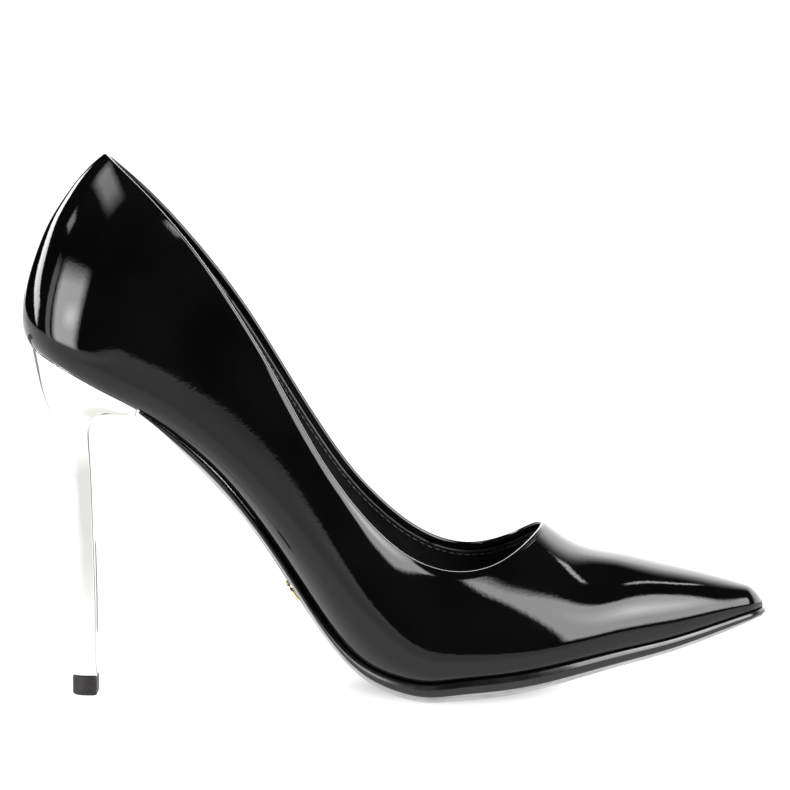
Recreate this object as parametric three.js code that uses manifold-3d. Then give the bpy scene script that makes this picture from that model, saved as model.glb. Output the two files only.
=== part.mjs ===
// A high heel pump for the right foot: one-piece patent upper with a pointed toe, and a plated stiletto heel.
// Millimetres. +X points to the toe, +Y to the inner (medial) side of the foot, +Z up. The ground is Z = 0.
//
// Everything follows one shape, the last: planes that stand on the seam between upper and sole, leaning
// forward at the heel and upright from the ball on. In a plane, r is the height above the seam.
import * as THREE from "three";
import Module from "manifold-3d";

const wasm = await Module();
wasm.setup();

// ---- Driving dimensions ----
const LATERAL = -1;
const MEDIAL = 1;
const TIP_X = 114.3; // foremost point of the toe
const TIP_ROUND = 5.2; // the toe is rounded off over this length
const THROAT_X = 45.1; // front of the foot opening
const HINGE_X = -88; // the heel cup turns about a line that stands here
const BREAST_X = -76.6; // the sole ends here, at the front of the heel
const VAMP_LINING_X = -6; // the seam between vamp lining and quarter linings
const GRIP_X = -70; // the seam between quarter linings and heel grip
const HEEL_LEAN = THREE.MathUtils.degToRad(28.4); // slope of the heel seat
const LEAN_FROM = -75;
const LEAN_TO = 20;

// Depths of the layers below the outer surface.
const UPPER = [0, 0.9];
const STIFFENER = [1.2, 1.7];
const LINING = [2.0, 2.6];
const LASTING_MARGIN = 9; // how far the layers are turned in under the foot
const GAP = 0.3;

// Heights of the bottom pieces above the seam plane.
const INSOLE = [3.2, 4.4];
const REAR_BOARD = [4.8, 5.9];
const PAD_THICKNESS = 2.2;
const SOCK_THICKNESS = 0.8;
const BOTTOM_GAP = 0.4;
const SHANK = [1.4, 2.7];
const SHANK_WIDTH = 11;
const FILLER = [0.3, 2.6];

// Heel: slices from the seat down to the tip. Each runs from the back edge to the breast in the side view.
const HEEL_BREAST_X = -77.6;
const HEEL_SEAT_INSET = 0.4;
const HEEL_SLICES = [
  { back: [-110.9, 104.5], front: [-77.9, 88.8], half: 22.6 },
  { back: [-109.9, 100.0], front: [-79.3, 87.5], half: 20.0 },
  { back: [-108.6, 95.0], front: [-83.5, 87.6], half: 16.4 },
  { back: [-107.1, 90.5], front: [-89.0, 87.4], half: 12.6 },
  { back: [-105.9, 86.5], front: [-92.4, 85.2], half: 9.6 },
  { back: [-104.4, 81.0], front: [-93.6, 80.6], half: 7.2 },
  { back: [-102.9, 73.0], front: [-93.4, 73.0], half: 5.6 },
  { back: [-101.6, 60.0], front: [-93.0, 60.0], half: 4.8 },
  { back: [-100.7, 45.0], front: [-92.7, 45.0], half: 4.3 },
  { back: [-100.3, 25.0], front: [-92.4, 25.0], half: 4.1 },
  { back: [-100.0, 9.0], front: [-92.2, 9.0], half: 4.1 },
  { back: [-100.1, 6.3], front: [-92.0, 6.3], half: 4.2 },
];
const TOP_PIECE = { back: -100.0, front: -92.2, half: 4.3, height: 6, rounding: 0.4 };

// The stem leans, so its tube and the pin of the top piece share one axis.
const STEM_FOOT = new THREE.Vector3(-96.0, 0, 0);
const STEM_HEAD = new THREE.Vector3(-97.8, 0, 70);
const TUBE = { outer: 2.0, inner: 1.45, from: 6.8, to: 80 };
const PIN = { radius: 1.12, from: 2.3, to: 22 };

// Fasteners. Places on the seat are distances back from the hinge line and across.
const SCREW = { radius: 1.8, head: 3.6, headHeight: 0.9, depth: 13, place: [9, 0] };
const NAIL = { radius: 0.75, head: 1.7, headHeight: 0.5, depth: 7 };
const NAIL_PLACES = [[-1, -9], [-1, 9], [10, -8], [10, 8]];
const RIVET = { radius: 1.5, head: 2.8, headHeight: 0.45 };
const RIVET_PLACES = { shank_rivet_rear: -78, shank_rivet_front: -22 };
const STUD = { x: -28.6, head: 3.85, rise: 1.3, pin: 1.1 };

// Fineness of the surfaces.
const TOE_STEPS = 11;
const SIDE_STEPS = 15;
const CUP_STEPS = 7;
const WALL_STEPS = 8;
const ROUND_STEPS = 12;
const BOTTOM_START = 110; // the bottom pieces have a cross section here, and every step behind it
const BOTTOM_STEP = 8;

// ---- Curves ----

// A natural cubic spline through [x, y] points, straight beyond its ends. A start slope may be given.
function curve(points, startSlope = null) {
  const n = points.length;
  const x = points.map((p) => p[0]);
  const y = points.map((p) => p[1]);
  const slope = (i) => (y[i + 1] - y[i]) / (x[i + 1] - x[i]);
  const upper = new Array(n).fill(0);
  const value = new Array(n).fill(0);
  if (startSlope !== null) {
    upper[0] = 0.5;
    value[0] = (3 * (slope(0) - startSlope)) / (x[1] - x[0]);
  }
  for (let i = 1; i < n - 1; i += 1) {
    const before = x[i] - x[i - 1];
    const after = x[i + 1] - x[i];
    const pivot = 2 * (before + after) - before * upper[i - 1];
    upper[i] = after / pivot;
    value[i] = (6 * (slope(i) - slope(i - 1)) - before * value[i - 1]) / pivot;
  }
  const bend = new Array(n).fill(0);
  for (let i = n - 2; i >= 0; i -= 1) bend[i] = value[i] - upper[i] * bend[i + 1];
  return (at) => {
    let i = 0;
    while (i < n - 2 && at > x[i + 1]) i += 1;
    const h = x[i + 1] - x[i];
    if (at < x[0]) return y[0] + (slope(0) - (h * (2 * bend[0] + bend[1])) / 6) * (at - x[0]);
    if (at > x[n - 1]) return y[n - 1] + (slope(n - 2) + (h * bend[n - 2]) / 6) * (at - x[n - 1]);
    const a = (x[i + 1] - at) / h;
    const b = 1 - a;
    return a * y[i] + b * y[i + 1] + (((a ** 3 - a) * bend[i] + (b ** 3 - b) * bend[i + 1]) * h * h) / 6;
  };
}

// Side view: the seam between upper and sole, and the edge of the foot opening on both sides.
const seam = curve([
  [-112, 109.6], [-88, 96.6], [-77, 90.6], [-64, 80.8], [-50, 66.8], [-37.6, 50.3], [-28.6, 36.9],
  [-19.6, 24.3], [-10.1, 15.2], [-3, 11.8], [3.8, 10.1], [10, 9.6], [18.4, 10.6], [31, 12.0], [43.3, 13.8],
  [55, 16.1], [67.7, 18.4], [83.2, 20.7], [97.9, 23.7], [107.3, 25.7], [TIP_X, 27.2],
]);
const topline = {
  [LATERAL]: curve([
    [-88, 167.6], [-75.5, 156.4], [-58.2, 136.5], [-47.7, 121.2], [-34.6, 99.4], [-21.8, 76.6], [-13.5, 65.0],
    [-4.5, 55.0], [4, 48.0], [13.5, 43.9], [22, 43.2], [31.5, 45.4], [39, 49.6], [THROAT_X, 53.9],
  ]),
  [MEDIAL]: curve([
    [-88, 167.6], [-75.5, 155.6], [-58.2, 135.4], [-46.8, 119.8], [-35.5, 101.9], [-24.1, 83.5], [-14.6, 70.0],
    [-4.8, 59.5], [4, 51.9], [14.3, 46.0], [23, 44.3], [31.5, 45.8], [39, 49.6], [THROAT_X, 53.9],
  ]),
};

// Across: the centre line, the half width at the seam and at the widest height, and that height.
const centreLine = curve([[HINGE_X, 0], [-40, -1.6], [5, -0.6], [30, 0.6], [60, 1.4], [90, 2.4], [TIP_X, 3.2]], 0);
const seamHalf = curve([
  [HINGE_X, 24.3], [-68, 21.4], [-45, 16.6], [-28, 17.4], [-8, 27.0], [12, 34.6], [28, 36.2], [45, 34.8],
  [62, 30.2], [80, 22.8], [95, 15.2], [106, 8.6], [TIP_X, 4.0],
], 0);
const bulgeHalf = curve([
  [HINGE_X, 28.6], [-60, 28.2], [-35, 28.6], [-8, 33.6], [14, 38.0], [28, 38.4], [45, 36.8], [62, 31.8],
  [80, 24.0], [95, 16.2], [106, 9.4], [TIP_X, 4.6],
], 0);
const bulgeHeight = curve([
  [HINGE_X, 9.5], [-70, 10.8], [-52, 12.4], [-40, 15.2], [-28, 18.6], [-17, 18.8], [-7, 15.0], [3, 8.8],
  [14, 5.4], [30, 4.2], [45, 4.2], [68, 4.2], [85, 3.3], [102, 2.2], [TIP_X, 1.3],
]);
const ridgeHeight = curve([
  [HINGE_X, 68], [-60, 71], [-35, 76], [-10, 74], [20, 60.4], [34, 50.5], [THROAT_X, 40.8], [57, 30.8],
  [69.6, 25.7], [82, 21.0], [94.4, 15.4], [106.8, 9.0], [TIP_X, 5.0],
]);
const peak = curve([[HINGE_X, 0], [-35, 0.1], [0, 0.45], [25, 0.5], [50, 0.3], [70, 0.12], [TIP_X, 0]]);

// How far the bottom of the last bulges downwards in its middle.
const crown = curve([
  [-88, 0], [-77, 0.2], [-45, 1.5], [-10, 4.0], [10, 5.8], [40, 6.2], [62, 5.3], [80, 4.0], [95, 2.9], [TIP_X, 0.6],
]);

// Distance of the heel's back from the hinge line, by height above the seam.
const backDistance = curve([
  [0, 27.4], [1, 28.9], [3.4, 31.3], [7.8, 33.8], [13.5, 36.1], [22.8, 38.3], [29.3, 39.2], [36, 39.6],
  [43.3, 39.1], [54.5, 37.1], [58.7, 35.7], [62.3, 34.1],
]);

// Sole thickness at its edge, and how much thicker it is in the middle.
const soleEdge = curve([
  [BREAST_X, 0.4], [-68, 1.2], [-58, 1.7], [-30, 2.0], [-8, 2.8], [12, 3.2], [60, 3.1], [95, 2.4], [TIP_X, 1.8],
]);
const soleSwell = curve([
  [BREAST_X, 0.3], [-66, 1.8], [-55, 2.0], [-40, 0.9], [-28, 0.9], [0, 1.4], [14, 1.5], [40, 1.4], [60, 1.0],
  [80, 0.9], [107, 0.7], [TIP_X, 0.4],
]);

// ---- The last ----

function tipRounding(x) {
  const u = Math.max(0, (x - TIP_X + TIP_ROUND) / TIP_ROUND);
  return Math.sqrt(Math.max(0, 1 - u * u));
}

// The plane that stands on the seam at x: its foot, its upward direction and its forward direction.
function plane(x) {
  const t = THREE.MathUtils.smootherstep(x, LEAN_FROM, LEAN_TO);
  const lean = HEEL_LEAN * (1 - t);
  return {
    foot: new THREE.Vector3(x, 0, seam(x)),
    up: new THREE.Vector3(Math.sin(lean), 0, Math.cos(lean)),
    forward: new THREE.Vector3(Math.cos(lean), 0, -Math.sin(lean)),
  };
}
const HINGE = plane(HINGE_X);

// Height and half width of the outer surface at an angle: 0 at the widest height, a right angle on the ridge.
function section(x, angle) {
  const round = tipRounding(x);
  const bulge = bulgeHeight(x) * round;
  const rise = ridgeHeight(x) * round - bulge;
  const widest = bulgeHalf(x) * round;
  const widthAt = (a) => widest * Math.cos(a) * (1 - peak(x) * Math.sin(a) ** 2);
  const turnIn = widthAt(Math.asin(bulge / rise)) - seamHalf(x) * round;
  const r = bulge + rise * Math.sin(angle);
  const below = Math.max(0, 1 - r / bulge);
  return { r, half: widthAt(angle) - turnIn * below ** 3 };
}

// The angle at which a section reaches a height.
function angleAt(x, height) {
  const round = tipRounding(x);
  const bulge = bulgeHeight(x) * round;
  return Math.asin((height - bulge) / (ridgeHeight(x) * round - bulge));
}

// Behind the hinge the outline narrows with the turn, flatter at the sides than an ellipse.
function narrowing(turn) {
  return Math.sign(Math.cos(turn)) * Math.sqrt(Math.max(0, 1 - Math.sin(turn) ** 2.5));
}

// A point of the outer surface: in front of the hinge by its plane x, behind it by the turn about the hinge.
function wallPoint(place, angle, side) {
  const { foot, up, forward } = plane(place.x);
  const { r, half } = section(place.x, angle);
  const point = foot.clone().addScaledVector(up, r);
  point.addScaledVector(forward, -backDistance(r) * Math.sin(place.turn));
  point.y = centreLine(place.x) + side * half * narrowing(place.turn);
  return point;
}

// The same point moved inwards along the surface's normal.
function insetPoint(place, angle, side, depth) {
  const point = wallPoint(place, angle, side);
  if (depth === 0) return point;
  const step = 0.02;
  const moved = (sign) => {
    if (place.turn > 0) return { x: place.x, turn: place.turn - (sign * step) / 20 };
    return { x: place.x + sign * step, turn: 0 };
  };
  const along = wallPoint(moved(1), angle, side).sub(wallPoint(moved(-1), angle, side));
  const upward = wallPoint(place, angle + step / 20, side).sub(wallPoint(place, angle - step / 20, side));
  const normal = along.cross(upward).normalize();
  return point.addScaledVector(normal, side === LATERAL ? -depth : depth);
}

// The bottom of the last: t runs from -1 on the outer edge to 1 on the inner edge, r is above the seam plane.
function bottomPoint(place, t, r, inset = 0) {
  const { foot, up, forward } = plane(place.x);
  const half = seamHalf(place.x) * tipRounding(place.x);
  const scale = Math.max(0, half - inset) / half;
  const drop = crown(place.x) * (1 - (t * scale) ** 2);
  const point = foot.clone().addScaledVector(up, r - drop);
  point.addScaledVector(forward, -backDistance(0) * scale * Math.sin(place.turn));
  point.y = centreLine(place.x) + t * half * scale * narrowing(place.turn);
  return point;
}

// ---- Places along the shoe, from the toe tip back to the middle of the heel ----

const rightAngle = Math.PI / 2;
const inFront = (x) => ({ x, turn: 0 });

function toplineAngle(place, side) {
  let low = 0;
  let high = rightAngle;
  for (let k = 0; k < 40; k += 1) {
    const middle = (low + high) / 2;
    const point = wallPoint(place, middle, side);
    if (point.z > topline[side](point.x)) high = middle;
    else low = middle;
  }
  return (low + high) / 2;
}

// Evenly spaced places between the throat and the hinge along a line of the surface.
function evenPlaces(pointAt, steps) {
  const samples = 120;
  const places = [];
  for (let k = 0; k <= samples; k += 1) {
    const x = THROAT_X + ((HINGE_X - THROAT_X) * k) / samples;
    const point = pointAt(x);
    const length = k === 0 ? 0 : places[k - 1].length + point.distanceTo(places[k - 1].point);
    places.push({ x, point, length });
  }
  const total = places[samples].length;
  return Array.from({ length: steps + 1 }, (_, i) => {
    const wanted = (total * i) / steps;
    const k = Math.min(samples, Math.max(1, places.findIndex((p) => p.length >= wanted - 1e-9)));
    const [a, b] = [places[k - 1], places[k]];
    const share = THREE.MathUtils.clamp((wanted - a.length) / (b.length - a.length), 0, 1);
    return a.x + (b.x - a.x) * share;
  });
}

// Columns of the surface grid: each knows its place at the seam and at the upper border.
function columns(side) {
  const list = [];
  for (let i = 0; i < TOE_STEPS; i += 1) {
    const x = TIP_X - (TIP_X - THROAT_X) * (i / TOE_STEPS) ** 1.7;
    list.push({ low: inFront(x), high: inFront(x), border: rightAngle });
  }
  const lowPlaces = evenPlaces((x) => bottomPoint(inFront(x), side, 0), SIDE_STEPS);
  const border = (x) => wallPoint(inFront(x), toplineAngle(inFront(x), side), side);
  const highPlaces = evenPlaces(border, SIDE_STEPS);
  lowPlaces.forEach((low, i) => {
    const high = inFront(highPlaces[i]);
    list.push({ low: inFront(low), high, border: i === 0 ? rightAngle : toplineAngle(high, side) });
  });
  for (let i = 1; i <= CUP_STEPS; i += 1) {
    const place = { x: HINGE_X, turn: (rightAngle * i) / CUP_STEPS };
    list.push({ low: place, high: place, border: toplineAngle(place, side) });
  }
  return list;
}
const grid = { [LATERAL]: columns(LATERAL), [MEDIAL]: columns(MEDIAL) };
const BACK = grid[LATERAL].length - 1;
const THROAT = TOE_STEPS;

// The column whose foot is nearest to x.
function columnAt(x) {
  const distance = (column) => Math.abs(column.low.x - x) + column.low.turn * 100;
  const nearest = grid[LATERAL].reduce((best, column) => (distance(column) < distance(best) ? column : best));
  return grid[LATERAL].indexOf(nearest);
}

// How far inside the seam the wall is at a height, once it is moved inwards by a depth.
function wallInset(x, height, depth) {
  const step = 0.4;
  const here = section(x, angleAt(x, height)).half;
  const above = section(x, angleAt(x, height + step)).half;
  const ahead = section(x + step, angleAt(x + step, height)).half;
  const slant = Math.hypot(1, (above - here) / step, (ahead - here) / step);
  return seamHalf(x) * tipRounding(x) - here + depth * slant;
}

// A point of a layer. Row -1 is the inner edge of the lasting margin, row 0 the seam, the last row the border.
function layerPoint(wantedSide, i, row, depth) {
  const shared = i === BACK || (row === WALL_STEPS && i <= THROAT); // the back seam and the ridge
  const side = shared ? LATERAL : wantedSide;
  const { low, high, border } = grid[side][i];
  if (i === 0) return new THREE.Vector3(TIP_X - 1.4 * depth, centreLine(TIP_X), seam(TIP_X) + 0.3 * depth);
  if (row < 0) {
    const half = seamHalf(low.x) * tipRounding(low.x);
    const closed = low.turn === 0 && i <= 3;
    return bottomPoint(low, closed ? 0 : side, depth, closed ? 0 : Math.min(LASTING_MARGIN, 0.62 * half));
  }
  if (row === 0) return bottomPoint(low, side, depth, wallInset(low.x, depth, depth));
  const share = (row / WALL_STEPS) ** 1.3;
  const x = low.x + (high.x - low.x) * share;
  const start = angleAt(x, 0);
  return insetPoint({ x, turn: low.turn }, start + (border - start) * share, side, depth);
}

// ---- Solids ----

function vertexKey(point) {
  return [point.x, point.y, point.z].map((value) => Math.round(value * 1e4) + 0).join(" ");
}

// The solid between two matching surfaces. Cells are quads of point numbers, seen from the first surface's side.
function solidBetween(points, cells) {
  const numbers = new Map();
  const kept = [];
  const number = points.map((pair) => {
    const key = vertexKey(pair[0]);
    if (!numbers.has(key)) {
      numbers.set(key, kept.length);
      kept.push(pair);
    }
    return numbers.get(key);
  });
  const faces = [];
  for (const [a, b, c, d] of cells) {
    for (const corners of [[a, b, c], [a, c, d]]) {
      const face = corners.map((corner) => number[corner]);
      if (new Set(face).size === 3) faces.push(face);
    }
  }
  const open = new Map();
  for (const face of faces) {
    face.forEach((from, k) => {
      const to = face[(k + 1) % 3];
      if (!open.delete(`${to} ${from}`)) open.set(`${from} ${to}`, [from, to]);
    });
  }
  const other = kept.length;
  const index = [];
  for (const [a, b, c] of faces) index.push(a, b, c, c + other, b + other, a + other);
  for (const [from, to] of open.values()) index.push(to, from, from + other, to, from + other, to + other);
  const used = [...new Set(index)].sort((a, b) => a - b);
  const place = new Map(used.map((old, k) => [old, k]));
  const positions = used.flatMap((k) => (k < other ? kept[k][0] : kept[k - other][1]).toArray());
  return bufferGeometry(positions, index.map((old) => place.get(old)));
}

function bufferGeometry(positions, index) {
  const geometry = new THREE.BufferGeometry();
  geometry.setAttribute("position", new THREE.BufferAttribute(new Float32Array(positions), 3));
  geometry.setIndex(index);
  return geometry;
}

// A layer of the upper over a range of columns and rows, on one side or on both. Cut ends stop half a gap short.
function layer([outer, inner], { from = 0, to = BACK, low = -1, high = WALL_STEPS, sides = [LATERAL, MEDIAL] }) {
  const points = [];
  const cells = [];
  const rows = high - low + 1;
  for (const side of sides) {
    const start = points.length;
    for (let i = from; i <= to; i += 1) {
      for (let row = low; row <= high; row += 1) {
        const next = (i === from && from > 0 ? 1 : 0) - (i === to && to < BACK ? 1 : 0);
        points.push([outer, inner].map((depth) => {
          const point = layerPoint(side, i, row, depth);
          if (next === 0) return point;
          const towards = layerPoint(side, i + next, row, depth).sub(point).normalize();
          return point.addScaledVector(towards, GAP / 2);
        }));
      }
    }
    for (let i = 0; i < to - from; i += 1) {
      for (let row = 0; row < rows - 1; row += 1) {
        const a = start + i * rows + row;
        const quad = [a, a + rows, a + rows + 1, a + 1];
        cells.push(side === MEDIAL ? quad : quad.reverse());
      }
    }
  }
  return solidBetween(points, cells);
}

// All bottom pieces share these places, so that they stay parallel: the nearest ones to their two ends are used.
const bottomGrid = [inFront(TIP_X - 0.4), inFront(TIP_X - 1.6)];
for (let x = BOTTOM_START; x > HINGE_X + 1; x -= BOTTOM_STEP) bottomGrid.push(inFront(x));
for (let i = 0; i <= CUP_STEPS; i += 1) bottomGrid.push({ x: HINGE_X, turn: (rightAngle * i) / CUP_STEPS });

function bottomPlaces(front, back) {
  if (back <= HINGE_X) return bottomGrid.filter(({ x }) => x < front + BOTTOM_STEP / 2);
  const inside = ({ x }) => x < front + BOTTOM_STEP / 2 && x > back - BOTTOM_STEP / 2;
  return bottomGrid.filter(inside);
}

// A piece that lies along the bottom of the last, between two heights that may vary.
function bottomPiece(places, across, low, high, inset) {
  const points = [];
  const cells = [];
  const rows = across.length;
  for (const place of places) {
    for (const t of across) {
      const edge = typeof inset === "function" ? inset(place) : inset;
      points.push([bottomPoint(place, t, low(place, t), edge), bottomPoint(place, t, high(place, t), edge)]);
    }
  }
  for (let i = 0; i < places.length - 1; i += 1) {
    for (let row = 0; row < rows - 1; row += 1) {
      const a = i * rows + row;
      cells.push([a, a + 1, a + rows + 1, a + rows]);
    }
  }
  return solidBetween(points, cells.map((quad) => quad.reverse()));
}

// ---- Cutting ----

function toManifold(geometry) {
  return new wasm.Manifold(new wasm.Mesh({
    numProp: 3,
    vertProperties: geometry.getAttribute("position").array,
    triVerts: new Uint32Array(geometry.getIndex().array),
  }));
}

function cut(geometry, tools) {
  let solid = toManifold(geometry);
  for (const tool of tools) solid = solid.subtract(toManifold(tool));
  const mesh = solid.getMesh();
  return bufferGeometry(mesh.vertProperties, Array.from(mesh.triVerts));
}

// A body turned about an axis: the profile holds [radius, distance along the axis] and starts and ends on it.
function turned(profile, base, direction, steps = ROUND_STEPS) {
  const lathe = new THREE.LatheGeometry(profile.map(([r, h]) => new THREE.Vector2(r, h)), steps);
  const turn = new THREE.Quaternion().setFromUnitVectors(new THREE.Vector3(0, 1, 0), direction);
  lathe.applyQuaternion(turn);
  lathe.translate(base.x, base.y, base.z);
  return merged(lathe);
}

// The same geometry with its shared vertices joined and empty faces left out.
function merged(geometry) {
  const source = geometry.getAttribute("position");
  const numbers = new Map();
  const positions = [];
  const number = Array.from({ length: source.count }, (_, k) => {
    const point = new THREE.Vector3().fromBufferAttribute(source, k);
    const key = vertexKey(point);
    if (!numbers.has(key)) {
      numbers.set(key, numbers.size);
      positions.push(point.x, point.y, point.z);
    }
    return numbers.get(key);
  });
  const old = geometry.getIndex().array;
  const index = [];
  for (let k = 0; k < old.length; k += 3) {
    const face = [number[old[k]], number[old[k + 1]], number[old[k + 2]]];
    if (new Set(face).size === 3) index.push(...face);
  }
  return bufferGeometry(positions, index);
}

// ---- Materials ----

const finish = (color, roughness, metalness = 0) => new THREE.MeshStandardMaterial({ color, roughness, metalness });
const patent = finish(0x0a0a0b, 0.08);
const blackLining = finish(0x17161a, 0.6);
const fibre = finish(0x8a6f52, 0.85);
const textile = finish(0x5d5a55, 0.9);
const foam = finish(0xcfc6b2, 0.95);
const soleBlack = finish(0x101012, 0.25);
const chromed = finish(0xe9ebec, 0.06, 1);
const steel = finish(0x9b9fa3, 0.35, 1);
const brass = finish(0xcaa45c, 0.25, 1);
const tipBlack = finish(0x232122, 0.55);

const shoe = new THREE.Group();
function add(name, geometry, material) {
  const mesh = new THREE.Mesh(geometry, material);
  mesh.name = name;
  shoe.add(mesh);
}

// ---- Upper, stiffeners and linings ----

const vampLiningEnd = columnAt(VAMP_LINING_X);
const gripStart = columnAt(GRIP_X);
const tapeRow = WALL_STEPS - 1;

function addUpper() {
  add("upper", layer(UPPER, {}), patent);
  add("toe_puff", layer(STIFFENER, { from: 4, to: 8, low: 1 }), fibre);
  add("heel_counter", layer(STIFFENER, { from: gripStart - 2, high: tapeRow - 1 }), fibre);
  add("topline_tape", layer(STIFFENER, { from: THROAT - 1, low: tapeRow }), textile);
}

function addLinings() {
  add("vamp_lining", layer(LINING, { from: 4, to: vampLiningEnd }), blackLining);
  const quarter = { from: vampLiningEnd, to: gripStart };
  add("quarter_lining_lateral", layer(LINING, { ...quarter, sides: [LATERAL] }), blackLining);
  add("quarter_lining_medial", layer(LINING, { ...quarter, sides: [MEDIAL] }), blackLining);
  add("heel_grip", layer(LINING, { from: gripStart }), blackLining);
}

// ---- Fasteners ----

// A place on the heel seat, given as a distance back from the hinge and a distance across.
function seatAxis([back, across]) {
  const base = HINGE.foot.clone().addScaledVector(HINGE.forward, -back);
  base.y = across;
  return { base, direction: HINGE.up };
}

// The line at right angles to the bottom of the shoe at x, from a height above the seam plane.
function bottomAxis(x, height) {
  const ahead = BOTTOM_START - BOTTOM_STEP * Math.floor((BOTTOM_START - x) / BOTTOM_STEP);
  const front = bottomPoint(inFront(ahead), 0, height);
  const back = bottomPoint(inFront(ahead - BOTTOM_STEP), 0, height);
  const base = back.clone().lerp(front, (x - ahead + BOTTOM_STEP) / BOTTOM_STEP);
  const along = front.sub(back).normalize();
  const direction = new THREE.Vector3(-along.z, 0, along.x);
  return { base, direction, squeeze: direction.dot(plane(x).up) };
}

const stemDirection = STEM_HEAD.clone().sub(STEM_FOOT).normalize();
const stemAxis = { base: STEM_FOOT, direction: stemDirection };
const screwAxis = seatAxis(SCREW.place);
const nailAxes = NAIL_PLACES.map(seatAxis);
const rivetMiddle = (SHANK[0] + INSOLE[1]) / 2;
const rivetAxes = Object.values(RIVET_PLACES).map((x) => bottomAxis(x, rivetMiddle));

function rod({ base, direction }, radius, from, to) {
  return turned([[0, from], [radius, from], [radius, to], [0, to]], base, direction);
}

// Shaft from a depth below the seat up to a flat head that rests on the insole board.
function headedShaft(axis, { radius, head, headHeight, depth }) {
  const rest = INSOLE[1] + GAP;
  const profile = [[0, -depth], [radius * 0.5, -depth], [radius, -depth + 2 * radius]];
  profile.push([radius, rest], [head, rest], [head, rest + headHeight], [0, rest + headHeight]);
  return turned(profile, axis.base, axis.direction);
}

function addFasteners() {
  add("heel_screw", headedShaft(screwAxis, SCREW), steel);
  nailAxes.forEach((axis, i) => add(`heel_nail_${i + 1}`, headedShaft(axis, NAIL), steel));
  Object.keys(RIVET_PLACES).forEach((name, i) => {
    const { radius, head, headHeight } = RIVET;
    const reach = ((INSOLE[1] - SHANK[0]) / 2) * rivetAxes[i].squeeze + GAP;
    const upperHalf = [[radius, reach], [head, reach], [head, reach + headHeight], [0, reach + headHeight]];
    const lowerHalf = upperHalf.map(([r, h]) => [r, -h]).reverse();
    add(name, turned([...lowerHalf, ...upperHalf], rivetAxes[i].base, rivetAxes[i].direction), steel);
  });
}

// ---- Bottom ----

const halfway = [-1, -0.5, 0, 0.5, 1];
const constant = (value) => () => value;

// The sock lies on the insole board in front, rises onto the rear board, and then onto the heel pad.
function sockHeight({ x }) {
  const onBoard = 1 - THREE.MathUtils.smoothstep(x, -10, 10);
  const onPad = 1 - THREE.MathUtils.smoothstep(x, -72, -56);
  const rise = (REAR_BOARD[1] - INSOLE[1]) * onBoard + (PAD_THICKNESS + BOTTOM_GAP) * onPad;
  return INSOLE[1] + BOTTOM_GAP + rise;
}

function addInnerBottom() {
  const boardInset = ({ x }) => wallInset(x, INSOLE[0], LINING[1]) + 2 * BOTTOM_GAP;
  const flat = (places, [low, high], inset) => bottomPiece(places, halfway, constant(low), constant(high), inset);
  const clearance = (axes, { radius }) => axes.map((axis) => rod(axis, radius + GAP, -5, 12));
  const headRoom = (axes, { head }) => axes.map((axis) => rod(axis, head + GAP, 0, 12));
  const holes = [...clearance([screwAxis], SCREW), ...clearance(nailAxes, NAIL), ...clearance(rivetAxes, RIVET)];
  const pockets = [...headRoom([screwAxis], SCREW), ...headRoom(nailAxes, NAIL), ...headRoom(rivetAxes, RIVET)];

  const whole = bottomPlaces(102, HINGE_X);
  add("insole_board", cut(flat(whole, INSOLE, boardInset), holes), fibre);
  add("rear_board", cut(flat(bottomPlaces(-10, HINGE_X), REAR_BOARD, boardInset), pockets), fibre);
  const pad = [REAR_BOARD[1] + BOTTOM_GAP, REAR_BOARD[1] + BOTTOM_GAP + PAD_THICKNESS];
  const padInset = (place) => boardInset(place) + 3;
  add("heel_pad", flat(bottomPlaces(-74, HINGE_X), pad, padInset), foam);
  const sockTop = (place) => sockHeight(place) + SOCK_THICKNESS;
  add("insock", bottomPiece(whole, halfway, sockHeight, sockTop, boardInset), blackLining);

  const shankInset = ({ x }) => seamHalf(x) - SHANK_WIDTH / 2;
  const shank = bottomPiece(bottomPlaces(-10, -82), [-1, 1], constant(SHANK[0]), constant(SHANK[1]), shankInset);
  add("steel_shank", cut(shank, clearance(rivetAxes, RIVET)), steel);
  add("forefoot_filler", flat(bottomPlaces(86, -2), FILLER, constant(LASTING_MARGIN + BOTTOM_GAP)), textile);
}

// The sole: full thickness under the foot, rounded towards its edges, and flat where it stands on the ground.
function addOutsole() {
  const across = [-1, -0.93, -0.7, -0.4, -0.15, 0.15, 0.4, 0.7, 0.93, 1];
  const bottom = ({ x }, t) => {
    const edge = soleEdge(x) * (Math.abs(t) === 1 ? 0.7 : 1);
    const depth = -BOTTOM_GAP - edge - soleSwell(x) * (1 - t * t);
    const { foot, up } = plane(x);
    const drop = crown(x) * (1 - t * t);
    return Math.max(depth, drop - foot.z / up.z);
  };
  const places = [...bottomPlaces(TIP_X, BREAST_X + BOTTOM_STEP), inFront(BREAST_X)];
  const sole = bottomPiece(places, across, bottom, constant(-BOTTOM_GAP), 0);
  const axis = bottomAxis(STUD.x, -BOTTOM_GAP);
  add("outsole", cut(sole, [rod(axis, STUD.pin + GAP, -8, 1)]), soleBlack);

  const under = -(soleEdge(STUD.x) + soleSwell(STUD.x)) * axis.squeeze - GAP;
  const { head, rise, pin } = STUD;
  const dome = [[0, under - rise], [head * 0.6, under - rise * 0.9], [head * 0.9, under - rise * 0.6]];
  dome.push([head, under - rise * 0.25], [head, under], [pin, under], [pin, -GAP], [0, -GAP]);
  add("brass_stud", turned(dome, axis.base, axis.direction), brass);
}

// ---- Heel ----

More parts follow.
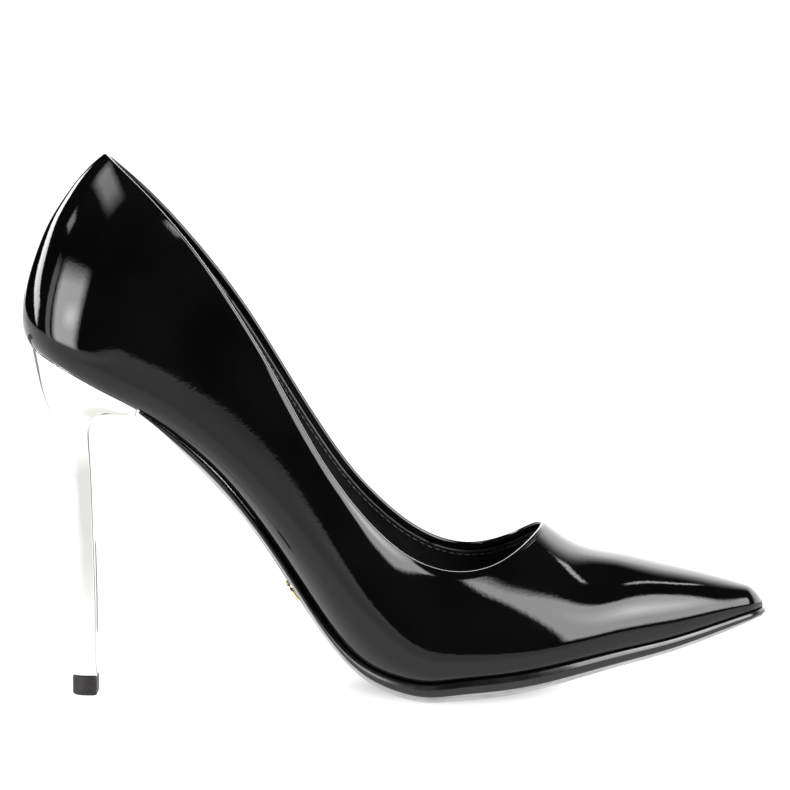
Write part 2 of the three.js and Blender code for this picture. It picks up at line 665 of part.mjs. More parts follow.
// Half of the D-shaped outline of a slice: share of the way from breast to back, and share of the half width.
const outlineSteps = 5;
const straightShare = 0.32;
const halfOutline = [[0, 0.84], [0.05, 0.96], [0.15, 1], [straightShare, 1]];
for (let i = 1; i < outlineSteps; i += 1) {
  const a = (rightAngle * i) / outlineSteps;
  halfOutline.push([straightShare + (1 - straightShare) * Math.sin(a), Math.cos(a)]);
}
const outline = [...halfOutline, [1, 0], ...halfOutline.slice().reverse().map(([along, w]) => [along, -w])];

// A solid through D-shaped slices, the first one on top. Its ends are closed by fans.
function loft(slices) {
  const positions = [];
  const index = [];
  const count = outline.length;
  for (const { back, front, half } of slices) {
    for (const [along, share] of outline) {
      const x = front[0] + (back[0] - front[0]) * along;
      const z = front[1] + (back[1] - front[1]) * along;
      positions.push(x, half * share, z);
    }
  }
  for (let s = 0; s < slices.length - 1; s += 1) {
    for (let k = 0; k < count; k += 1) {
      const a = s * count + k;
      const b = s * count + ((k + 1) % count);
      index.push(a, a + count, b, b, a + count, b + count);
    }
  }
  const bottom = (slices.length - 1) * count;
  for (let k = 1; k < count - 1; k += 1) {
    index.push(0, k, k + 1);
    index.push(bottom, bottom + k + 1, bottom + k);
  }
  return bufferGeometry(positions, index);
}

function addHeel() {
  const back = bottomPoint({ x: HINGE_X, turn: rightAngle }, 0, -GAP, HEEL_SEAT_INSET);
  const front = bottomPoint(inFront(HEEL_BREAST_X), 0, -GAP);
  const seat = { back: [back.x, back.z], front: [front.x, front.z], half: seamHalf(HINGE_X) - HEEL_SEAT_INSET };
  const holes = [rod(stemAxis, TUBE.outer + GAP, -1, TUBE.to + 1)];
  holes.push(rod(screwAxis, SCREW.radius + GAP, -SCREW.depth - GAP, 6));
  nailAxes.forEach((axis) => holes.push(rod(axis, NAIL.radius + GAP, -NAIL.depth - GAP, 6)));
  add("heel", cut(loft([seat, ...HEEL_SLICES]), holes), chromed);

  const { outer, inner, from, to } = TUBE;
  const ring = [[inner, from], [outer, from], [outer, to], [inner, to], [inner, from]];
  add("heel_tube", turned(ring, stemAxis.base, stemAxis.direction), steel);
}

function addTopPiece() {
  const { back, front, half, height, rounding } = TOP_PIECE;
  const slice = (z, inset) => ({ back: [back + inset, z], front: [front - inset, z], half: half - inset });
  const block = loft([slice(height, 0), slice(rounding, 0), slice(0, rounding)]);
  const socket = rod(stemAxis, PIN.radius + GAP, PIN.from - GAP, height + 2);
  add("top_piece", cut(block, [socket]), tipBlack);
  add("top_piece_pin", rod(stemAxis, PIN.radius, PIN.from, PIN.to), steel);
}

addUpper();
addLinings();
addInnerBottom();
addOutsole();
addHeel();
addTopPiece();
addFasteners();

export default shoe;
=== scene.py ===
# A high heel pump: black patent upper with a pointed toe, black lining and insock, plated stiletto heel.
# The shapes are worked out in millimetres in the shoe's own frame and stored in metres.
import math
import bpy
import numpy as np
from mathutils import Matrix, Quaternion, Vector


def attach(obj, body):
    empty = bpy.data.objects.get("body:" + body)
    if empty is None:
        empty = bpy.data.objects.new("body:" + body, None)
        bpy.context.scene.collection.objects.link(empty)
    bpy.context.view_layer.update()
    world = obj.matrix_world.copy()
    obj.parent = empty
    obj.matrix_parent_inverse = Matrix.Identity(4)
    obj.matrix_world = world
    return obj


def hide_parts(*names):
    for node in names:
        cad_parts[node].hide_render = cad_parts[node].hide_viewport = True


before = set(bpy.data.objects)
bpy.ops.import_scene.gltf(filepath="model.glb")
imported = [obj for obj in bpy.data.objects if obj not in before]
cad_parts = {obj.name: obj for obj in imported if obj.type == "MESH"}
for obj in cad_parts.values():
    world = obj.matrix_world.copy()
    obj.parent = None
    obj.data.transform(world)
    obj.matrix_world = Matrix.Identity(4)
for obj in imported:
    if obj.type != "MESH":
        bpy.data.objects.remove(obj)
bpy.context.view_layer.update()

MM = 0.001
LATERAL, MEDIAL = -1, 1
TIP_X, TIP_ROUND = 114.3, 5.2
THROAT_X, HINGE_X, BREAST_X = 45.1, -88.0, -76.6
HEEL_LEAN = math.radians(28.4)
LEAN_FROM, LEAN_TO = -75.0, 20.0
VAMP_LINING_X, GRIP_X = -6.0, -70.0
LASTING_MARGIN = 9.0
ROLL = 0.95  # radius of the folded top edge
LIP, LIP_DEPTH = 2.6, 0.32  # near its top edge the upper bends inwards over this height and by this much
LIP_FROM, LIP_TO = -50, -28  # at the back there is no bend: it sets in between these places
LIP_COLUMNS = 14  # and at the throat it sets in over this many columns
QUARTER = math.pi / 2


# ---- Curves ----
class Spline:
    """A natural cubic spline, straight beyond its ends."""

    def __init__(self, points, start_slope=None):
        self.x, self.y = np.array(points, float).T
        h, dy = np.diff(self.x), np.diff(self.y)
        n = len(self.x)
        system, right = np.eye(n), np.zeros(n)
        for i in range(1, n - 1):
            system[i, i - 1 : i + 2] = h[i - 1], 2 * (h[i - 1] + h[i]), h[i]
            right[i] = 6 * (dy[i] / h[i] - dy[i - 1] / h[i - 1])
        if start_slope is not None:
            system[0, :2] = 2 * h[0], h[0]
            right[0] = 6 * (dy[0] / h[0] - start_slope)
        self.bend = np.linalg.solve(system, right)

    def __call__(self, at):
        at = np.asarray(at, float)
        x, y, m = self.x, self.y, self.bend
        i = np.clip(np.searchsorted(x, at, side="right") - 1, 0, len(x) - 2)
        h = x[i + 1] - x[i]
        t = np.clip(at, x[0], x[-1])
        a, b = (x[i + 1] - t) / h, (t - x[i]) / h
        inner = a * y[i] + b * y[i + 1] + ((a**3 - a) * m[i] + (b**3 - b) * m[i + 1]) * h * h / 6
        first = (y[1] - y[0]) / (x[1] - x[0]) - (x[1] - x[0]) * (2 * m[0] + m[1]) / 6
        last = (y[-1] - y[-2]) / (x[-1] - x[-2]) + (x[-1] - x[-2]) * (m[-2] + 2 * m[-1]) / 6
        before, beyond = np.minimum(at - x[0], 0), np.maximum(at - x[-1], 0)
        return inner + before * first + beyond * last


seam = Spline([
    (-112, 109.6), (-88, 96.6), (-77, 90.6), (-64, 80.8), (-50, 66.8), (-37.6, 50.3), (-28.6, 36.9),
    (-19.6, 24.3), (-10.1, 15.2), (-3, 11.8), (3.8, 10.1), (10, 9.6), (18.4, 10.6), (31, 12.0), (43.3, 13.8),
    (55, 16.1), (67.7, 18.4), (83.2, 20.7), (97.9, 23.7), (107.3, 25.7), (TIP_X, 27.2),
])
TOPLINE = {
    LATERAL: Spline([
        (-88, 167.6), (-75.5, 156.4), (-58.2, 136.5), (-47.7, 121.2), (-34.6, 99.4), (-21.8, 76.6),
        (-13.5, 65.0), (-4.5, 55.0), (4, 48.0), (13.5, 43.9), (22, 43.2), (31.5, 45.4), (39, 49.6),
        (THROAT_X, 53.9),
    ]),
    MEDIAL: Spline([
        (-88, 167.6), (-75.5, 155.6), (-58.2, 135.4), (-46.8, 119.8), (-35.5, 101.9), (-24.1, 83.5),
        (-14.6, 70.0), (-4.8, 59.5), (4, 51.9), (14.3, 46.0), (23, 44.3), (31.5, 45.8), (39, 49.6),
        (THROAT_X, 53.9),
    ]),
}
centre_line = Spline([(HINGE_X, 0), (-40, -1.6), (5, -0.6), (30, 0.6), (60, 1.4), (90, 2.4), (TIP_X, 3.2)], 0)
seam_half = Spline([
    (HINGE_X, 24.3), (-68, 21.4), (-45, 16.6), (-28, 17.4), (-8, 27.0), (12, 34.6), (28, 36.2), (45, 34.8),
    (62, 30.2), (80, 22.8), (95, 15.2), (106, 8.6), (TIP_X, 4.0),
], 0)
bulge_half = Spline([
    (HINGE_X, 28.6), (-60, 28.2), (-35, 28.6), (-8, 33.6), (14, 38.0), (28, 38.4), (45, 36.8), (62, 31.8),
    (80, 24.0), (95, 16.2), (106, 9.4), (TIP_X, 4.6),
], 0)
bulge_height = Spline([
    (HINGE_X, 9.5), (-70, 10.8), (-52, 12.4), (-40, 15.2), (-28, 18.6), (-17, 18.8), (-7, 15.0), (3, 8.8),
    (14, 5.4), (30, 4.2), (45, 4.2), (68, 4.2), (85, 3.3), (102, 2.2), (TIP_X, 1.3),
])
ridge_height = Spline([
    (HINGE_X, 68), (-60, 71), (-35, 76), (-10, 74), (20, 60.4), (34, 50.5), (THROAT_X, 40.8), (57, 30.8),
    (69.6, 25.7), (82, 21.0), (94.4, 15.4), (106.8, 9.0), (TIP_X, 5.0),
])
peak = Spline([(HINGE_X, 0), (-35, 0.1), (0, 0.45), (25, 0.5), (50, 0.3), (70, 0.12), (TIP_X, 0)])
crown = Spline([
    (-88, 0), (-77, 0.2), (-45, 1.5), (-10, 4.0), (10, 5.8), (40, 6.2), (62, 5.3), (80, 4.0), (95, 2.9),
    (TIP_X, 0.6),
])
back_distance = Spline([
    (0, 27.4), (1, 28.9), (3.4, 31.3), (7.8, 33.8), (13.5, 36.1), (22.8, 38.3), (29.3, 39.2), (36, 39.6),
    (43.3, 39.1), (54.5, 37.1), (58.7, 35.7), (62.3, 34.1),
])
sole_edge = Spline([
    (BREAST_X, 0.4), (-68, 1.2), (-58, 1.7), (-30, 2.0), (-8, 3.2), (12, 3.9), (60, 3.8), (95, 2.6),
    (TIP_X, 1.8),
])
sole_swell = Spline([
    (BREAST_X, 0.3), (-66, 1.8), (-55, 2.0), (-40, 0.9), (-28, 0.9), (0, 0.8), (14, 0.8), (40, 0.7),
    (60, 0.4), (80, 0.5), (107, 0.6), (TIP_X, 0.4),
])


# ---- The last: planes that stand on the seam, leaning forward at the heel ----
def smootherstep(x, low, high):
    t = np.clip((np.asarray(x, float) - low) / (high - low), 0, 1)
    return t**3 * (t * (6 * t - 15) + 10)


def tip_rounding(x):
    u = np.clip((x - TIP_X + TIP_ROUND) / TIP_ROUND, 0, 1)
    return np.sqrt(1 - u * u)


def plane(x):
    lean = HEEL_LEAN * (1 - smootherstep(x, LEAN_FROM, LEAN_TO))
    zero = np.zeros_like(lean)
    foot = np.stack([x + zero, zero, seam(x)], -1)
    up = np.stack([np.sin(lean), zero, np.cos(lean)], -1)
    forward = np.stack([np.cos(lean), zero, -np.sin(lean)], -1)
    return foot, up, forward


def narrowing(turn):
    return np.where(turn > QUARTER + 1e-9, -1, 1) * np.sqrt(np.maximum(0, 1 - np.sin(turn) ** 2.5))


def section(x, angle):
    round_ = tip_rounding(x)
    bulge = bulge_height(x) * round_
    rise = np.maximum(ridge_height(x) * round_ - bulge, 1e-4)
    widest = bulge_half(x) * round_

    def width_at(a):
        return widest * np.cos(a) * (1 - peak(x) * np.sin(a) ** 2)

    turn_in = width_at(np.arcsin(np.clip(bulge / rise, -1, 1))) - seam_half(x) * round_
    r = bulge + rise * np.sin(angle)
    below = np.maximum(0, 1 - r / np.maximum(bulge, 1e-4))
    return r, width_at(angle) - turn_in * below**3


def angle_at(x, height):
    round_ = tip_rounding(x)
    bulge = bulge_height(x) * round_
    return np.arcsin(np.clip((height - bulge) / np.maximum(ridge_height(x) * round_ - bulge, 1e-4), -1, 1))


def wall_point(x, turn, angle, side):
    x, turn, angle, side = np.broadcast_arrays(*[np.asarray(v, float) for v in (x, turn, angle, side)])
    foot, up, forward = plane(x)
    r, half = section(x, angle)
    point = foot + up * r[..., None] - forward * (back_distance(r) * np.sin(turn))[..., None]
    point[..., 1] = centre_line(x) + side * half * narrowing(turn)
    return point


def unit(v):
    return v / np.maximum(np.linalg.norm(v, axis=-1, keepdims=True), 1e-12)


def wall_normal(x, turn, angle, side):
    """The outward normal of the wall."""
    step = 0.02
    x, turn, angle, side = np.broadcast_arrays(*[np.asarray(v, float) for v in (x, turn, angle, side)])
    turned = turn > 0
    ahead_x, ahead_turn = np.where(turned, x, x + step), np.where(turned, turn - step / 20, turn)
    back_x, back_turn = np.where(turned, x, x - step), np.where(turned, turn + step / 20, turn)
    along = wall_point(ahead_x, ahead_turn, angle, side) - wall_point(back_x, back_turn, angle, side)
    upward = wall_point(x, turn, angle + step / 20, side) - wall_point(x, turn, angle - step / 20, side)
    return unit(np.cross(along, upward)) * (-side)[..., None]


def wall_inside(x, turn, angle, side, depth):
    return wall_point(x, turn, angle, side) - wall_normal(x, turn, angle, side) * np.asarray(depth)[..., None]


def bottom_point(x, turn, t, r, inset=0.0):
    x, turn, t, r, inset = np.broadcast_arrays(*[np.asarray(v, float) for v in (x, turn, t, r, inset)])
    foot, up, forward = plane(x)
    half = np.maximum(seam_half(x) * tip_rounding(x), 1e-3)
    scale = np.maximum(0, half - inset) / half
    drop = crown(x) * (1 - (t * scale) ** 2)
    back = back_distance(0.0) * scale * np.sin(turn)
    point = foot + up * (r - drop)[..., None] - forward * back[..., None]
    point[..., 1] = centre_line(x) + t * half * scale * narrowing(turn)
    return point


# ---- The edge of the foot opening, moved inwards in the side view ----
def moved_topline(side, inset):
    x = np.linspace(-100, THROAT_X + 6, 700)
    z = TOPLINE[side](x)
    slope = np.gradient(z, x)
    size = np.sqrt(1 + slope**2)
    return x + inset * slope / size, z - inset / size


def throat_at(inset):
    """Where the moved edge meets the ridge."""
    x, z = moved_topline(LATERAL, inset)
    near = x > 30
    ridge = wall_point(x, 0.0, QUARTER, LATERAL)[:, 2]
    above = near & (z > ridge)
    first = int(np.argmax(above))
    a, b = z[first - 1] - ridge[first - 1], z[first] - ridge[first]
    return float(x[first - 1] + (x[first] - x[first - 1]) * (-a) / (b - a))


def border_angle(x, turn, side, inset):
    edge_x, edge_z = moved_topline(side, inset)
    low = np.zeros(np.broadcast(x, turn).shape)
    high = np.full(low.shape, QUARTER)
    for _ in range(44):
        middle = (low + high) / 2
        point = wall_point(x, turn, middle, side)
        over = point[..., 2] > np.interp(point[..., 0], edge_x, edge_z)
        high, low = np.where(over, middle, high), np.where(over, low, middle)
    return (low + high) / 2


def running_length(points):
    return np.concatenate([[0], np.cumsum(np.linalg.norm(np.diff(points, axis=0), axis=1))])


def evenly(points, x, steps):
    length = running_length(points)
    return np.interp(np.linspace(0, length[-1], steps + 1), length, x)


class Columns:
    """Columns of the wall from the toe tip to the back seam, for one side and one inset of the top edge."""

    def __init__(self, side, inset=0.0, toe=72, sides=120, cup=34):
        self.side, self.toe = side, toe
        throat = throat_at(inset)
        x = throat - (throat - HINGE_X) * np.linspace(0, 1, 1400) ** 1.8
        low = evenly(bottom_point(x, 0.0, side, 0.0), x, sides)
        angle = border_angle(x, 0.0, side, inset)
        angle[0] = QUARTER
        high = evenly(wall_point(x, 0.0, angle, side), x, sides)
        front = TIP_X - (TIP_X - throat) * (np.arange(toe) / toe) ** 1.5
        turn = QUARTER * np.arange(1, cup + 1) / cup
        self.low = np.concatenate([front, low, np.full(cup, HINGE_X)])
        self.high = np.concatenate([front, high, np.full(cup, HINGE_X)])
        self.turn = np.concatenate([np.zeros(toe + sides + 1), turn])
        self.border = border_angle(self.high, self.turn, side, inset)
        self.border[: toe + 1] = QUARTER
        self.count = len(self.low)

    def wall(self, share, depth=0.0):
        """Points of the wall: share 0 is the seam and 1 the top edge, for every column."""
        share = np.asarray(share, float)[None, :]
        x = self.low[:, None] + (self.high - self.low)[:, None] * share
        start = angle_at(x, np.zeros_like(x))
        angle = start + (self.border[:, None] - start) * share
        turn = self.turn[:, None] + np.zeros_like(x)
        depth = np.broadcast_to(np.asarray(depth, float), x.shape)
        return wall_inside(x, turn, angle, self.side, depth)

    def margin(self, share, depth):
        """Points of the lasting margin: share 1 is the seam and 0 its inner edge."""
        share = np.asarray(share, float)[None, :]
        x = self.low[:, None] + np.zeros_like(share)
        half = seam_half(x) * tip_rounding(x)
        width = np.minimum(LASTING_MARGIN, 0.62 * half)
        inset = width * (1 - share) + depth * 1.15 * share
        return bottom_point(x, self.turn[:, None] + 0 * share, self.side, depth, inset)


# ---- Mesh helpers ----
CLOSE = 1e-5  # points closer than this, in metres, are merged in closed bodies


def mesh_object(name, points, faces, merge=2e-6):
    import bmesh

    mesh = bpy.data.meshes.new(name)
    mesh.from_pydata([tuple(p) for p in np.asarray(points) * MM], [], faces)
    build = bmesh.new()
    build.from_mesh(mesh)
    bmesh.ops.remove_doubles(build, verts=build.verts, dist=merge)
    bmesh.ops.dissolve_degenerate(build, edges=build.edges, dist=merge)
    bmesh.ops.recalc_face_normals(build, faces=build.faces)
    build.to_mesh(mesh)
    build.free()
    mesh.polygons.foreach_set("use_smooth", [True] * len(mesh.polygons))
    mesh.update()
    made = bpy.data.objects.new(name, mesh)
    bpy.context.scene.collection.objects.link(made)
    return made


def grid_faces(rows, columns, start=0, closed_columns=False):
    """Quads of a rows x columns grid of points stored row by row."""
    faces = []
    for i in range(rows - 1):
        for j in range(columns if closed_columns else columns - 1):
            a, b = start + i * columns, start + (i + 1) * columns
            k = (j + 1) % columns
            faces.append((a + j, b + j, b + k, a + k))
    return faces


def closed_strip(name, grid):
    """A body from a grid whose rows are closed rings, with flat ends."""
    rows, columns = grid.shape[:2]
    faces = grid_faces(rows, columns, closed_columns=True)
    faces.append(tuple(range(columns)))
    faces.append(tuple(reversed(range((rows - 1) * columns, rows * columns))))
    return mesh_object(name, grid.reshape(-1, 3), faces, CLOSE)


def tube(path, radius, sides):
    """Points and faces of a closed tube along a path, with a radius for every point of it."""
    count = len(path)
    along = unit(np.gradient(path, axis=0))
    reference = np.array([0.0, 0.0, 1.0]) if abs(along[:, 2]).mean() < 0.7 else np.array([0.0, 1.0, 0.0])
    across = unit(np.cross(along, reference))
    upward = np.cross(across, along)
    turn = np.arange(sides) * 2 * math.pi / sides
    ring = path[:, None] + radius[:, None, None] * (
        across[:, None] * np.cos(turn)[None, :, None] + upward[:, None] * np.sin(turn)[None, :, None]
    )
    faces = grid_faces(count, sides, closed_columns=True)
    faces += [tuple(range(sides)), tuple(reversed(range((count - 1) * sides, count * sides)))]
    return ring.reshape(-1, 3), faces


def joined(name, bodies):
    points, faces, start = [], [], 0
    for body_points, body_faces in bodies:
        points.append(body_points)
        faces += [tuple(k + start for k in face) for face in body_faces]
        start += len(body_points)
    return mesh_object(name, np.concatenate(points), faces)


# ---- Materials ----
def material(name, color, roughness, metallic=0.0, coat=0.0, coat_roughness=0.03, ior=1.5, sheen=0.0):
    made = bpy.data.materials.new(name)
    made.use_nodes = True
    shader = made.node_tree.nodes["Principled BSDF"]
    shader.inputs["Base Color"].default_value = (*color, 1)
    shader.inputs["Roughness"].default_value = roughness
    shader.inputs["Metallic"].default_value = metallic
    shader.inputs["Coat Weight"].default_value = coat
    shader.inputs["Coat Roughness"].default_value = coat_roughness
    shader.inputs["IOR"].default_value = ior
    shader.inputs["Sheen Weight"].default_value = sheen
    return made, made.node_tree, shader


def add_node(tree, kind, **settings):
    node = tree.nodes.new(kind)
    for key, value in settings.items():
        if key in node.inputs:
            node.inputs[key].default_value = value
        else:
            setattr(node, key, value)
    return node


def noise(tree, scale, detail=2.0, rough=0.5, stretch=None):
    place = tree.nodes.new("ShaderNodeTexCoord")
    source = place.outputs["Object"]
    if stretch:
        mapping = add_node(tree, "ShaderNodeMapping")
        mapping.inputs["Scale"].default_value = stretch
        tree.links.new(source, mapping.inputs["Vector"])
        source = mapping.outputs["Vector"]
    node = add_node(tree, "ShaderNodeTexNoise", Scale=scale, Detail=detail, Roughness=rough)
    tree.links.new(source, node.inputs["Vector"])
    return node.outputs["Fac"]


def cells(tree, scale):
    place = tree.nodes.new("ShaderNodeTexCoord")
    node = add_node(tree, "ShaderNodeTexVoronoi", Scale=scale)
    tree.links.new(place.outputs["Object"], node.inputs["Vector"])
    return node.outputs["Distance"]


def ranged(tree, source, low, high, start=0.3, end=0.7):
    node = add_node(tree, "ShaderNodeMapRange")
    for key, value in (("From Min", start), ("From Max", end), ("To Min", low), ("To Max", high)):
        node.inputs[key].default_value = value
    tree.links.new(source, node.inputs["Value"])
    return node.outputs["Result"]


def bump(tree, shader, source, distance, strength, after=None):
    node = add_node(tree, "ShaderNodeBump", Strength=strength, Distance=distance)
    tree.links.new(source, node.inputs["Height"])
    if after is not None:
        tree.links.new(after, node.inputs["Normal"])
    tree.links.new(node.outputs["Normal"], shader.inputs["Normal"])
    return node.outputs["Normal"]


def tinted(tree, shader, source, dark, light, start=0.3, end=0.7):
    ramp = add_node(tree, "ShaderNodeValToRGB")
    ramp.color_ramp.elements[0].position, ramp.color_ramp.elements[1].position = start, end
    ramp.color_ramp.elements[0].color = (*dark, 1)
    ramp.color_ramp.elements[1].color = (*light, 1)
    tree.links.new(source, ramp.inputs["Fac"])
    tree.links.new(ramp.outputs["Color"], shader.inputs["Base Color"])


def patent_leather(name):
    made, tree, shader = material(name, (0.0015, 0.0014, 0.0015), 0.06, ior=1.42)
    tree.links.new(ranged(tree, noise(tree, 90, 3), 0.03, 0.06), shader.inputs["Roughness"])
    slow = bump(tree, shader, noise(tree, 55, 1.5), 0.00006, 0.5)
    grain = bump(tree, shader, noise(tree, 700, 3, 0.6), 0.000018, 0.6, slow)
    bump(tree, shader, cells(tree, 1500), 0.000006, 0.35, grain)
    tinted(tree, shader, noise(tree, 40, 4), (0.0010, 0.0009, 0.0010), (0.0020, 0.0018, 0.0019))
    return made


def lining_leather(name, tone=1.0):
    made, tree, shader = material(name, (0.012, 0.011, 0.011), 0.42)
    tinted(tree, shader, noise(tree, 220, 5), (0.005 * tone, 0.0046 * tone, 0.0046 * tone),
           (0.011 * tone, 0.0100 * tone, 0.0096 * tone))
    tree.links.new(ranged(tree, noise(tree, 500, 4), 0.36, 0.55), shader.inputs["Roughness"])
    grain = bump(tree, shader, cells(tree, 1100), 0.00006, 0.5)
    bump(tree, shader, noise(tree, 260, 4), 0.0001, 0.35, grain)
    return made


def sole_leather(name):
    made, tree, shader = material(name, (0.004, 0.004, 0.004), 0.2, coat=0.25, coat_roughness=0.08, ior=1.42)
    tinted(tree, shader, noise(tree, 120, 5), (0.002, 0.002, 0.002), (0.006, 0.0055, 0.0055))
    tree.links.new(ranged(tree, noise(tree, 160, 5), 0.14, 0.30), shader.inputs["Roughness"])
    grain = bump(tree, shader, noise(tree, 700, 4, stretch=(0.3, 1, 1)), 0.00003, 0.4)
    bump(tree, shader, noise(tree, 90, 2), 0.00012, 0.3, grain)
    return made


def plating(name, color, low, high):
    made, tree, shader = material(name, color, low, metallic=1.0)
    tree.links.new(ranged(tree, noise(tree, 260, 3), low, high), shader.inputs["Roughness"])
    bump(tree, shader, noise(tree, 70, 2), 0.00006, 0.25)
    return made


def board(name, dark, light, scale=300, roughness=0.85):
    made, tree, shader = material(name, light, roughness, sheen=0.1)
    tinted(tree, shader, noise(tree, scale, 6, 0.7), dark, light)
    bump(tree, shader, noise(tree, scale * 2, 5, 0.7), 0.00012, 0.7)
    return made


def woven(name, dark, light):
    made, tree, shader = material(name, light, 0.9, sheen=0.3)
    place = tree.nodes.new("ShaderNodeTexCoord")
    heights = []
    for direction in ("X", "Z"):
        wave = add_node(tree, "ShaderNodeTexWave", Scale=1400 / 6, Distortion=0.6)
        wave.bands_direction = direction
        tree.links.new(place.outputs["Object"], wave.inputs["Vector"])
        heights.append(wave.outputs["Fac"])
    product = add_node(tree, "ShaderNodeMath", operation="MULTIPLY")
    for k, height in enumerate(heights):
        tree.links.new(height, product.inputs[k])
    tinted(tree, shader, product.outputs["Value"], dark, light)
    bump(tree, shader, product.outputs["Value"], 0.0001, 0.6)
    return made


def tip_rubber(name):
    made, tree, shader = material(name, (0.012, 0.011, 0.011), 0.45, ior=1.35)
    tinted(tree, shader, noise(tree, 400, 5), (0.008, 0.0072, 0.0072), (0.016, 0.014, 0.014))
    tree.links.new(ranged(tree, noise(tree, 700, 4), 0.36, 0.6), shader.inputs["Roughness"])
    lines = bump(tree, shader, noise(tree, 900, 3, stretch=(0.25, 0.25, 1)), 0.00004, 0.5)
    bump(tree, shader, noise(tree, 1600, 4), 0.00002, 0.5, lines)
    return made


PATENT = patent_leather("patent_leather")
LINING = lining_leather("lining_leather")
SOCK = lining_leather("insock_leather", 1.15)
SOLE = sole_leather("sole_leather")
THREAD, thread_tree, thread_shader = material("thread", (0.012, 0.012, 0.012), 0.5, sheen=0.3)
bump(thread_tree, thread_shader, noise(thread_tree, 2500, 2, stretch=(1, 1, 0.3)), 0.00006, 0.8)
tinted(thread_tree, thread_shader, noise(thread_tree, 900, 3), (0.010, 0.010, 0.010), (0.03, 0.03, 0.03))
CHROME = plating("heel_plating", (0.80, 0.81, 0.78), 0.03, 0.07)
GOLD = plating("stud_gold", (0.90, 0.79, 0.55), 0.10, 0.2)
STEEL = plating("plain_steel", (0.52, 0.53, 0.54), 0.28, 0.45)
FIBRE = board("fibreboard", (0.16, 0.10, 0.06), (0.32, 0.22, 0.13))
TEXTILE = woven("tape_textile", (0.08, 0.075, 0.07), (0.20, 0.19, 0.18))
FELT = board("felt", (0.10, 0.095, 0.09), (0.22, 0.21, 0.20), 500)
FOAM = board("latex_foam", (0.52, 0.46, 0.34), (0.70, 0.64, 0.52), 900)
RUBBER = tip_rubber("tip_rubber")


def place_piece(made, look, slot, *nodes, body="shoe"):
    made.data.materials.append(look)
    if nodes:
        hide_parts(*nodes)
    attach(made, body)
    return made


# ---- Upper ----
def both_sides(make):
    return {side: make(side) for side in (LATERAL, MEDIAL)}


def share_rows(count, power=1.15):
    return np.linspace(0, 1, count) ** power


def closed_ring(lateral, medial):
    """Edge points from the throat along the outer side to the back seam and home along the inner side."""
    return np.concatenate([lateral, medial[-2:0:-1]])


def edge_frame(inset):
    """The ring of the top edge, moved down by an inset, with its normals and its directions down the wall."""
    points, normals = {}, {}
    for side in (LATERAL, MEDIAL):
        columns = Columns(side, inset)
        part = slice(columns.toe, None)
        high, turn, border = columns.high[part], columns.turn[part], columns.border[part]
        points[side] = wall_point(high, turn, border, side)
        normals[side] = wall_normal(high, turn, border, side)
    ring = closed_ring(points[LATERAL], points[MEDIAL])
    normal = closed_ring(normals[LATERAL], normals[MEDIAL])
    along = unit(np.roll(ring, -1, 0) - np.roll(ring, 1, 0))
    down = unit(np.cross(normal, along))
    down *= np.where(down[:, 2:3] > 0, -1, 1)
    return ring, normal, down


MARGIN_ROWS = 5


def wall_grid(columns, rows, depth):
    """The outside of the upper on one side, from the inner edge of its lasting margin to the top."""
    margin = columns.margin(np.linspace(0, 1, MARGIN_ROWS + 1), 0.0)
    wall = columns.wall(rows, depth)
    return np.concatenate([margin[:, :-1], wall], axis=1)


def lip(distance):
    return LIP_DEPTH * np.clip(1 - distance / LIP, 0, 1) ** 2


def build_upper():
    rows = np.sort(np.concatenate([share_rows(54), [0.965, 0.975, 0.985, 0.992, 0.997]]))
    points, faces, start = [], [], 0
    for side in (LATERAL, MEDIAL):
        columns = Columns(side, ROLL)
        grid = wall_grid(columns, rows, 0.0)
        wall = grid[:, MARGIN_ROWS:]
        distance = np.linalg.norm(wall - wall[:, -1:], axis=-1)
        opening = np.clip((np.arange(columns.count) - columns.toe) / LIP_COLUMNS, 0, 1)[:, None]
        opening = opening * smootherstep(wall[:, -1:, 0], LIP_FROM, LIP_TO)
        grid = wall_grid(columns, rows, lip(distance) * opening)
        points.append(grid.reshape(-1, 3))
        faces += grid_faces(*grid.shape[:2], start=start)
        start += grid.shape[0] * grid.shape[1]
    ring, normal, down = edge_frame(ROLL)
    bends = np.linspace(0, math.pi, 13)
    profile = [(-ROLL * math.sin(a), ROLL * (1 - math.cos(a))) for a in bends]
    profile += [(s, 2 * ROLL) for s in (0.5, 1.2, 2.0, 2.8)] + [(2.9, 1.5), (2.8, 1.0), (1.5, 0.95)]
    count = len(ring)
    from_throat = np.minimum(np.arange(count), count - np.arange(count))
    opening = np.clip(from_throat / LIP_COLUMNS, 0, 1)[:, None] * smootherstep(ring[:, :1], LIP_FROM, LIP_TO)
    band = np.stack([ring + down * s - normal * (d + lip(max(s, 0)) * opening) for s, d in profile])
    points.append(band.reshape(-1, 3))
    faces += grid_faces(*band.shape[:2], start=start, closed_columns=True)
    made = mesh_object("patent_upper", np.concatenate(points), faces, 2 * CLOSE)
    return place_piece(made, PATENT, "patent", "upper")


build_upper()


